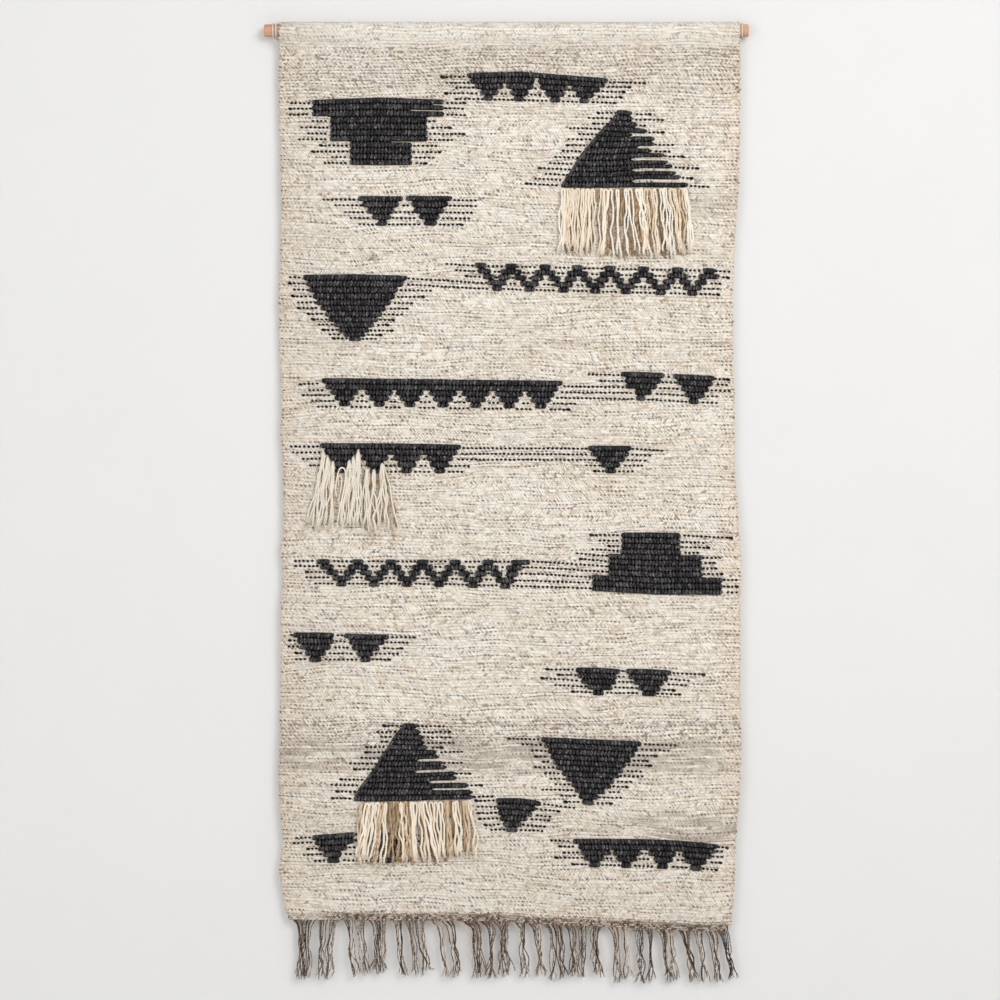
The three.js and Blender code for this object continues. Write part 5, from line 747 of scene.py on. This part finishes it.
for mi, name in enumerate(MOTIFS):
    body = "cloth_top" if mi < 14 else "cloth_foot"
    pile = Pile(); lift = LIFT.get(mi, 0.0); rr = np.random.RandomState(100 + mi)
    C, A, AL, AC, DE, RN = [], [], [], [], [], []
    for li, a, b in runs[mi]:
        kn = LINES[li][0]
        span = b - a; pitch = 5.5; cnt = max(2, int(round((span - 4.6) / pitch)) + 1) if span > 9 else 2
        inset = 2.4 if span > 9 else 2.0
        xs = np.linspace(a + inset, b - inset, cnt); way = 1 if rr.uniform() < 0.5 else -1
        for ii, x in enumerate(xs):
            up, dn = half_heights(mi, li, a, b, x); hh = (up + dn) / 2
            end = min(ii, cnt - 1 - ii)
            z = line_z(kn, x) + lift + (up - dn) / 2
            tilt = math.pi / 2 - way * 0.24 + rr.uniform(-0.2, 0.2)
            C.append((x + rr.uniform(-0.3, 0.3), 0, z + rr.uniform(-0.25, 0.25))); A.append((math.cos(tilt), 0, math.sin(tilt)))
            finger = mi in (2, 18) and ii > cnt / 2
            AL.append(hh * rr.uniform(0.93, 1.03) * ((0.62, 0.9)[end] if finger and end < 2 else 0.84 if end == 0 else 1)); AC.append(2.62 * rr.uniform(0.88, 1.12))
            DE.append(3.0 * rr.uniform(0.92, 1.06) * (0.9 if end == 0 else 1)); RN.append(rr.uniform(0, 1))
        # the wool that lies under the wrapped stitches; its near-black yarn value (-2) is painted shade in the grooves
        # between them
        st = np.arange(a + 4.2, b - 4.1, 6.0) if span > 12 else np.array([(a + b) / 2]); close = mi in (2, 18)
        st = np.concatenate([[a + 0.8, a + 2.2], st, [b - (5.0 if close and span > 16 else 2.2), b - 0.8]]); st = np.sort(st)
        round_ = np.ones(len(st)); round_[0] = 0.66; round_[1] = 0.93; round_[-1] = 0.30 if close else 0.66; round_[-2] = 0.93
        hs = np.array([half_heights(mi, li, a, b, x) for x in st]); zc = line_z(kn, st) + lift; fy = face_y(st, zc)
        tu = np.where(hs[:, 0] == 4.7, 0.86, 1.03); td = np.where(hs[:, 1] == 4.7, 0.86, 1.03)   # outer edges stay under the stitches
        tu = tu * round_; td = td * round_
        ring = np.stack([np.stack([st, fy + 0.6, zc + hs[:, 0] * tu], 1), np.stack([st, fy - 1.3, zc + hs[:, 0] * tu * 0.98], 1),
                         np.stack([st, fy - 1.3, zc - hs[:, 1] * td * 0.98], 1), np.stack([st, fy + 0.6, zc - hs[:, 1] * td], 1)], 1)
        kk = len(st); base = np.arange(kk - 1)[:, None] * 4; e = np.arange(4)[None, :]; e2 = (e + 1) % 4
        q = np.stack([base + e, base + e2, base + 4 + e2, base + 4 + e], -1).reshape(-1, 4)
        q = np.vstack([q, [[3, 2, 1, 0]], [[kk * 4 - 4, kk * 4 - 3, kk * 4 - 2, kk * 4 - 1]]])
        cc = ring.reshape(-1, 3)
        pile.add(cc, q, None, np.stack([cc[:, 0] * 0.3, cc[:, 2] * 0.2, np.full(len(cc), -2.0)], 1))
    if mi in (2, 18):   # yarn that steps down from row to row along the smooth left side
        for (l0, a0, _), (l1, a1, _) in zip(runs[mi][:-1], runs[mi][1:]):
            p0 = np.array([a0 + 1.2, line_z(LINES[l0][0], a0) + lift]); p1 = np.array([a1 + 1.8, line_z(LINES[l1][0], a1) + lift]); dd = p1 - p0; ln = np.hypot(*dd)
            C.append(((p0[0] + p1[0]) / 2, 0, (p0[1] + p1[1]) / 2)); A.append((dd[0] / ln, 0, dd[1] / ln)); AL.append(ln * 0.62); AC.append(2.3); DE.append(2.6); RN.append(rr.uniform(0, 1))
    C = np.array(C); C[:, 1] = face_y(C[:, 0], C[:, 2]) - 2.3
    co, q, t, rnd, yd = blobs(C, np.array(A), AL, AC, DE, RN, 8, 5, power=0.95)
    pile.add(co, q, t, yd)
    ob = pile.make("wool_" + name[6:], M_WOOL)
    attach(ob, body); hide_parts(name)

dash = {"cloth_top": [], "cloth_foot": []}
for li, (kn, xs0, xe0, sol) in enumerate(LINES):
    rr = np.random.RandomState(1000 + li)
    x = xs0 + 1.6 + rr.uniform(0, 1.5)
    zs = line_z(kn, 0.5 * (xs0 + xe0)); body = "cloth_top" if zs > -934 else "cloth_foot"
    spots = []
    while x < xe0 - 1.2:
        if not any(a - 1.8 < x < b + 1.8 for a, b, _ in sol): spots.append(x)
        x += 6.75 + rr.uniform(-0.55, 0.55)
    for i, xx in enumerate(spots):
        big = 1.0
        if i in (0, len(spots) - 1) and rr.uniform() < 0.45 and not any(min(abs(xx - a), abs(xx - b)) < 9 for a, b, _ in sol): big = 1.55
        dash[body].append((xx, line_z(kn, xx) + rr.uniform(-0.3, 0.3), -0.16 + rr.uniform(-0.14, 0.14), 2.5 * big * rr.uniform(0.85, 1.15), 1.95 * (1 + (big - 1) * 0.4) * rr.uniform(0.88, 1.12), rr.uniform(-0.9, -0.1)))
for body, rows in dash.items():
    r = np.array(rows); m = len(r)
    cen = np.stack([r[:, 0], face_y(r[:, 0], r[:, 1]) - 0.5, r[:, 1]], 1)
    ax = np.stack([np.cos(r[:, 2]), np.zeros(m), np.sin(r[:, 2])], 1)
    co, q, t, rnd, yd = blobs(cen, ax, r[:, 3], r[:, 4], np.full(m, 1.6), r[:, 5], 7, 4, power=0.85)
    pile = Pile(); pile.add(co, q, t, yd)
    ob = pile.make("dark_dashes_" + ("upper" if body == "cloth_top" else "lower"), M_WOOL)
    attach(ob, body)

# ------------------------------------------------------------------ twined finishing band
def slab_along(xs, z_top, z_low, y0, y1):
    ring = np.stack([np.stack([xs, y0, z_top - 1.0], 1), np.stack([xs, y0 - 0.0, z_low + 1.2], 1), np.stack([xs, 0 * xs, z_low], 1),
                     np.stack([xs, y1, z_low + 1.2], 1), np.stack([xs, y1, z_top - 1.0], 1), np.stack([xs, 0 * xs, z_top + 0.6], 1)], 1)
    kk, w = len(xs), 6; base = np.arange(kk - 1)[:, None] * w; e = np.arange(w)[None, :]; e2 = (e + 1) % w
    q = np.stack([base + e, base + e2, base + w + e2, base + w + e], -1).reshape(-1, 4)
    return ring.reshape(-1, 3), q


xs = np.linspace(-349.0, 354.6, 120); zb = z_bottom(xs); sw = sway(xs, zb)
cc, q = slab_along(xs, zb + BAND_H + 0.4, zb, sw - 1.7, sw + 1.7)
# the core under the stitches takes a dark tone of the yarn (value -0.35): painted shade in the gaps between the
# stitches and at the band's underside
pile = Pile(); pile.add(cc, q, None, np.stack([cc[:, 0], cc[:, 2], np.full(len(cc), -0.35)], 1))
rr = np.random.RandomState(77)
for side in (-1, 1):
    for row in range(5 if side < 0 else 4):      # the last rows lie on the cloth, thinner and thinner
        xx = np.arange(-347.5 + (row % 2) * 2.0, 353.5, 3.7); high = row >= 3
        if high: xx = xx[rr.uniform(size=len(xx)) < (0.9 if row == 3 else 0.5)]
        m = len(xx)
        zz = z_bottom(xx) + 1.9 + row * 3.05
        par = 1 if row % 2 == 0 else -1
        ang = par * 0.55 + rr.uniform(-0.12, 0.12, m)
        ax = np.stack([np.cos(ang), np.zeros(m), np.sin(ang)], 1)
        cen = np.stack([xx, sway(xx, zz) + side * (1.85 if high else 1.75), zz + rr.uniform(-0.25, 0.25, m)], 1)
        co, q, t, rnd, yd = blobs(cen, ax, rr.uniform(2.2, 2.9, m) * (0.85 if high else 1), rr.uniform(1.15, 1.5, m) * (0.8 if high else 1), rr.uniform(1.1, 1.5, m) * (0.7 if high else 1), np.clip(rr.uniform(0, 0.8 if high else 1, m) + 0.6 * np.clip((-262 - xx) / 50, 0, 1), 0, 1.2), 7, 3)
        pile.add(co, q, t, yd)
band = pile.make("twined_edge", M_BAND)
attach(band, "cloth_foot"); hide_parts("twined_edge_band")

# ------------------------------------------------------------------ cream fringes
PX = lambda v: (np.asarray(v, float) - 506.35) * 1.6
PZ = lambda v: -(np.asarray(v, float) - 30.35) * 1.6


def strand_path(x0, z0, x1, z1, y0, y1, rr, amp, n=26, start_in=True):
    """A strand that comes out of the cloth's face at (x0, z0), turns down over a small hump and hangs to (x1, z1)."""
    t = np.linspace(0, 1, n); L = z0 - z1
    lean = t ** rr.uniform(0.8, 1.5)
    ph, ph2 = rr.uniform(0, 2 * math.pi, 2); wl = rr.uniform(46, 82); wl2 = rr.uniform(20, 34)
    grow = np.clip(t * 4, 0, 1)
    x = x0 + (x1 - x0) * lean + grow * (amp * np.sin(t * L / wl * 2 * math.pi + ph) + amp * 0.32 * np.sin(t * L / wl2 * 2 * math.pi + ph2))
    hump = np.exp(-((t - 0.10) / 0.10) ** 2) * 1.6
    y = y0 + (y1 - y0) * t - hump + grow * 0.9 * np.sin(t * L / rr.uniform(36, 60) * 2 * math.pi + ph2)
    z = z0 - L * t
    p = np.stack([x, y, z], 1)
    if start_in:
        head = np.array([[x0, -1.0, z0 + 2.2], [x0, y0 + 2.2, z0 + 1.9]])
        p = np.vstack([head, p])
    return p


def yarn(pile, path, dia, rr, plies=3, seed=None, fray=0.22):
    """A soft yarn of a few plies that loosens towards its cut end."""
    n = len(path); t = np.linspace(0, 1, n); seed = rr.uniform(0, 1) if seed is None else seed
    turn = rr.uniform(0.42, 0.62); ph = rr.uniform(0, 6.28)
    for k in range(plies):
        open_ = 1 + 1.5 * np.clip((t - (1 - fray)) / fray, 0, 1) ** 1.4 * rr.uniform(0.4, 1.4)
        off = dia * 0.25 * open_
        rad = dia * 0.29 * (1 - 0.5 * np.clip((t - 0.9) / 0.1, 0, 1))
        pile.add(*tube(path, rad, 6, np.clip(seed + rr.uniform(-0.12, 0.12), 0, 1), offset=off, turn=turn, phase=ph + k * 2 * math.pi / plies))


def leg(x0, z0, x1, z1, y0, y1, rr, amp, bulge=0.0, n=22):
    """One hanging half of a yarn, from under its arch at (x0, z0) to its cut end at (x1, z1)."""
    t = np.linspace(0, 1, n); L = z0 - z1
    ph, ph2 = rr.uniform(0, 2 * math.pi, 2); wl = rr.uniform(46, 82); wl2 = rr.uniform(18, 30)
    grow = np.clip(t * 4, 0, 1)
    x = x0 + (x1 - x0) * t ** rr.uniform(0.75, 1.4) + grow * (amp * np.sin(t * L / wl * 2 * math.pi + ph) + amp * 0.3 * np.sin(t * L / wl2 * 2 * math.pi + ph2)) + bulge * np.sin(t * math.pi)
    y = y0 + (y1 - y0) * t + grow * 0.9 * np.sin(t * L / rr.uniform(36, 60) * 2 * math.pi + ph2)
    return np.stack([x, y, z0 - L * t], 1)


def curtain(name, seed, tops, knots, bottoms, ends, bulge=0.0, shades=((0.0, 0.22), (0.10, 0.95), (0.48, 1.0))):
    """Yarns folded in half over the warps: each shows a small arch at the top and two hanging legs, which stray into locks."""
    rr = np.random.RandomState(seed); pile = Pile()
    lock = np.interp(np.linspace(0, 1, knots), np.linspace(0, 1, 13), rr.normal(0, 8.5, 13) * ([0.3] + [1.0] * 11 + [0.3]))
    # layer 0 lies at the back and takes the darkest, brownest tones of the yarn: painted shade in the gaps between the
    # strands in front
    for layer, tones in enumerate(shades):
        for i in range(knots):
            if layer > 0 and rr.uniform() < (0.0, 0.17, 0.12)[layer]: continue
            f = (i + 0.5 + rr.uniform(-0.3, 0.3)) / knots
            if layer == 0: f = 0.05 + 0.90 * f
            xk = np.interp(f, [0, 1], tops[0]); zk = np.interp(f, [0, 1], tops[1]) + rr.uniform(-1.0, 0.8)
            w = rr.uniform(1.5, 3.3); y0 = -5.0 - 1.7 * layer + rr.uniform(-0.4, 0.4); both = []
            shade = rr.uniform(*tones)
            for side in (-1, 1):
                x1 = np.interp(f, [0, 1], bottoms) + lock[i] * (0.45 + 0.3 * layer) + side * w * 0.6 + rr.normal(0, 3.0)
                z1 = PZ(np.interp(f, np.linspace(0, 1, len(ends)), ends)) + rr.uniform(-7, 9)
                y1 = -3.9 - 2.9 * layer + rr.uniform(-0.8, 0.8)
                p = leg(xk + side * w, zk - 2.4, x1, z1, y0, y1, rr, rr.uniform(0.8, 2.8), bulge * max(0.0, 2 * f - 1) ** 2)
                p[:, 1] += sway(p[:, 0], p[:, 2]) * 0.9
                both.append(p)
            sw_ = float(sway(xk, zk)) * 0.9
            arch = np.array([[xk - w * 0.72, y0 - 0.5 + sw_, zk + 0.1], [xk, y0 - 0.2 + sw_, zk + 1.3], [xk + w * 0.72, y0 - 0.5 + sw_, zk + 0.1]])
            p = np.vstack([both[0][::-1], arch, both[1]])
            dia = rr.uniform(2.7, 3.5) + 0.22 * layer; n = len(p); t = np.abs(np.linspace(-1, 1, n)); turn = rr.uniform(0.42, 0.62); ph = rr.uniform(0, 6.28)
            for k in range(3):
                open_ = 1 + 1.6 * np.clip((t - 0.72) / 0.28, 0, 1) ** 1.4 * rr.uniform(0.3, 1.5)
                rad = dia * 0.29 * (1 - 0.55 * np.clip((t - 0.9) / 0.1, 0, 1))
                pile.add(*tube(p, rad, 6, np.clip(shade + rr.uniform(-0.1, 0.1), 0, 1), offset=dia * 0.25 * open_, turn=turn, phase=ph + k * 2 * math.pi / 3))
    return pile.make(name, M_CREAM)


def bend_fringe(ob, node):
    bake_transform(ob)
    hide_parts(node)


fr1 = curtain("fringe_strands_upper", 31, (PX([560, 687.5]), PZ([190.2, 189.8])), 26, PX([557, 694]), [248, 252.5, 254, 256, 252.5, 255.5, 250.5], 4.0)
bend_fringe(fr1, "cream_fringe_upper")
fr3 = curtain("fringe_strands_lower", 33, (PX([360, 472.5]), PZ([803.7, 801.8])), 23, PX([359, 478]), [859, 864, 860, 861, 856, 853], 3.0, ((0.0, 0.18), (0.02, 0.80), (0.22, 1.0)))
bend_fringe(fr3, "cream_fringe_lower")

# the middle fringe is knotted in by hand, in bunches: top x, top y, strands, end x from-to, end y from-to
BUNCHES = [(323.5, 452.5, 8, 306, 317, 519, 526), (328, 457.5, 7, 314, 326, 523, 529), (333, 462.5, 6, 325, 335, 520, 527), (349.5, 461.5, 7, 338, 346, 522, 529),
           (353.5, 457.5, 5, 344, 352, 522, 528), (358.3, 451.5, 12, 349, 363, 521, 529), (367, 468.5, 6, 362, 370, 522, 531), (374, 470.5, 6, 366, 377, 524, 532),
           (382.3, 464.5, 8, 374, 392, 522, 532), (383.5, 464.5, 2, 396, 399, 526, 529), (330, 464, 1, 329, 330, 533, 535), (383, 468, 1, 392.5, 393.5, 538, 540), (369, 470, 1, 369.5, 371, 535, 538)]
rr = np.random.RandomState(32); pile = Pile()
for bx, by, cnt, e0, e1, z0_, z1_ in BUNCHES:
    cnt = cnt if cnt < 3 else int(round(cnt * 1.15))
    for i in range(cnt):
        f = (i + 0.5) / cnt
        x0 = PX(bx + (f - 0.5) * 3.2 * min(1.0, cnt / 7)); z0 = PZ(by + abs(f - 0.5) * 9 * min(1.0, cnt / 7)) + rr.uniform(-1, 1)
        x1 = PX(e0 + (e1 - e0) * f) + rr.normal(0, 1.6); z1 = PZ(rr.uniform(z0_, z1_))
        # the back strands (layer 0) are made dark brown: painted shade in the gaps between the strands in front
        layer = i % 3
        p = strand_path(x0, z0, x1, z1, -6.4 - 1.6 * layer, -4.4 - 2.6 * layer, rr, rr.uniform(1.0, 2.7), 24)
        p[2:, 1] += sway(p[2:, 0], p[2:, 2]) * 0.9
        yarn(pile, p, rr.uniform(2.8, 3.5) + 0.15 * (layer - 1), rr, 3, seed=max(0.0, rr.uniform(0.84, 1.0) - (0.0, 0.20, 0.85)[2 - layer] * rr.uniform(0.4, 1.0)))
# one long loop that was never cut
lp = np.array([[PX(336.5), -3, PZ(497)], [PX(335.6), -6.5, PZ(488)], [PX(337.5), -8, PZ(476)], [PX(339.5), -9, PZ(469.3)], [PX(342.4), -9.5, PZ(467.6)], [PX(345.2), -9.2, PZ(470)],
               [PX(345.6), -9, PZ(478)], [PX(344.2), -9.4, PZ(489)], [PX(342), -9.5, PZ(499)], [PX(339.6), -9, PZ(510)], [PX(338.2), -8.4, PZ(519)], [PX(337.4), -8, PZ(526)]])
yarn(pile, spline(lp, 4.0), 2.7, rr, 3, seed=0.9)
lp = np.array([[PX(338.8), -3, PZ(486)], [PX(338.4), -7, PZ(478)], [PX(340.2), -8.6, PZ(474.6)], [PX(342), -8, PZ(479)], [PX(341), -7.6, PZ(490)], [PX(339), -7.4, PZ(499)], [PX(340.8), -7, PZ(512)], [PX(341.5), -7, PZ(523)]])
yarn(pile, spline(lp, 4.0), 2.5, rr, 3, seed=0.6)
fr2 = pile.make("fringe_strands_mid", M_CREAM)
bend_fringe(fr2, "cream_fringe_mid")

# ------------------------------------------------------------------ warp ends: they leave the band side by side and gather into tassels
# tassel: node number, then its bunches: x at the gathering, x at the end, end y, strands
TASSELS = [(1, [(302, 301, 978, 9), (308, 308, 977, 4)]), (2, [(322, 321, 978, 5), (331, 327.5, 978, 6)]), (3, [(350, 355.5, 975, 5), (360, 367, 974, 6)]), (4, [(377, 375.5, 972, 6), (383, 381, 973, 5)]),
 (5, [(398.5, 403.5, 976, 6)]), (6, [(411, 417, 975, 5), (420, 427.5, 974, 6)]), (7, [(442, 446.5, 977, 5), (452.5, 456.5, 976, 7)]), (8, [(473, 477.5, 977, 6), (478, 482.5, 976, 5)]),
 (9, [(491.5, 490, 977, 6)]), (10, [(503, 500.5, 976, 5), (504.5, 507.5, 975, 6)]), (11, [(522, 524.5, 976, 7)]), (12, [(538, 541.5, 975, 7)]), (13, [(552.5, 553, 981, 4), (559, 563.5, 978, 6)]),
 (14, [(573, 573.5, 975, 6), (582.5, 582, 976, 6)]), (15, [(594, 599, 976, 8)]), (16, [(617, 618, 981, 7), (625.5, 629, 980, 5)]), (17, [(639.5, 641, 982, 6)]), (18, [(651, 650.2, 981, 4)]),
 (19, [(664, 668, 981, 5), (670.5, 675.5, 981, 5)]), (20, [(686, 694.5, 981, 8)]), (21, [(699.5, 705, 982, 5)]), (22, [(714.5, 718.5, 981, 6), (726, 733, 978, 6)])]
# every strand leaves the band at its own place, evenly spaced
TASSELS = [(n_, [(a, b, c, max(3, int(round(d * 1.2)))) for a, b, c, d in bs]) for n_, bs in TASSELS]
total = sum(b[3] for _, bs in TASSELS for b in bs)
starts = np.linspace(-346.0, 352.0, total); k = 0
for num, bunches in TASSELS:
    rr = np.random.RandomState(500 + num); pile = Pile()
    for gx, ex, ey, cnt in bunches:
        swap = rr.permutation(cnt)
        for i in range(cnt):
            f = (i + 0.5) / cnt - 0.5; f2 = (swap[i] + 0.5) / cnt - 0.5; f1 = 0.5 * f + 0.5 * f2
            xs_ = starts[k] * 0.62 + (PX(gx) + f * 14) * 0.38; k += 1
            zs_ = z_bottom(xs_) + 1.2
            xg = PX(gx) + f * min(12.0, cnt * 1.7) + rr.normal(0, 0.8); zg = zs_ - rr.uniform(13, 30)
            xm = PX(0.5 * (gx + ex)) + f1 * min(11.0, cnt * 1.6) + rr.normal(0, 1.0)
            xe_ = PX(ex) + f2 * min(17.0, cnt * 2.6) + rr.normal(0, 1.8); ze_ = PZ(ey) + rr.uniform(-3.0, 8.0)
            side = rr.uniform(-1.6, 1.6); m = 9; tt_ = np.linspace(0, 1, m); ph = rr.uniform(0, 6.28); amp = rr.uniform(1.0, 3.6)
            arch = np.array([[xs_, side * 0.3, zs_], [xs_ + (xg - xs_) * 0.18, side * 0.5, zs_ - 3.6], [xs_ + (xg - xs_) * 0.68, side, zs_ - 9.0]])
            xb = (1 - tt_) ** 2 * xg + 2 * tt_ * (1 - tt_) * (2 * xm - 0.5 * (xg + xe_)) + tt_ ** 2 * xe_
            body = np.stack([xb + amp * np.sin(tt_ * rr.uniform(5, 9) + ph) * np.clip(tt_ * 3, 0, 1), side + 1.1 * np.sin(tt_ * 5 + ph) - 0.4, zg + (ze_ - zg) * tt_], 1)
            p = spline(np.vstack([arch, body]), 4.2); t = np.linspace(0, 1, len(p))
            pick = rr.uniform(); base = rr.uniform(0.0, 0.16) if pick < 0.46 else (rr.uniform(0.35, 0.6) if pick < 0.72 else rr.uniform(0.85, 1.0))
            r_ = rr.uniform(0.50, 0.68)
            for ply in (0, math.pi):
                tint = base if rr.uniform() < 0.7 else rr.uniform(0, 1)
                pile.add(*tube(p, r_ * (1 - 0.45 * np.clip((t - 0.9) / 0.1, 0, 1)), 5, tint, offset=0.52 + 0.6 * np.clip(np.linspace(-4, 1, len(p)), 0, 1), turn=0.62, phase=ph + ply))
            if rr.uniform() < 0.7:   # loose fibres at the cut end
                q0 = p[-4:] + np.array([[0, 0, 0], [0.6, 0, 0], [1.6, 0, 0], [3.0, 0, 1.5]]) * rr.choice([-1, 1]) * [1, 1, 1]
                pile.add(*tube(q0, 0.26, 4, rr.uniform(0, 1)))
    ob = pile.make("tassel_strands_%02d" % num, M_TAUPE)
    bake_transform(ob)
    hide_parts("tassel_%02d" % num)
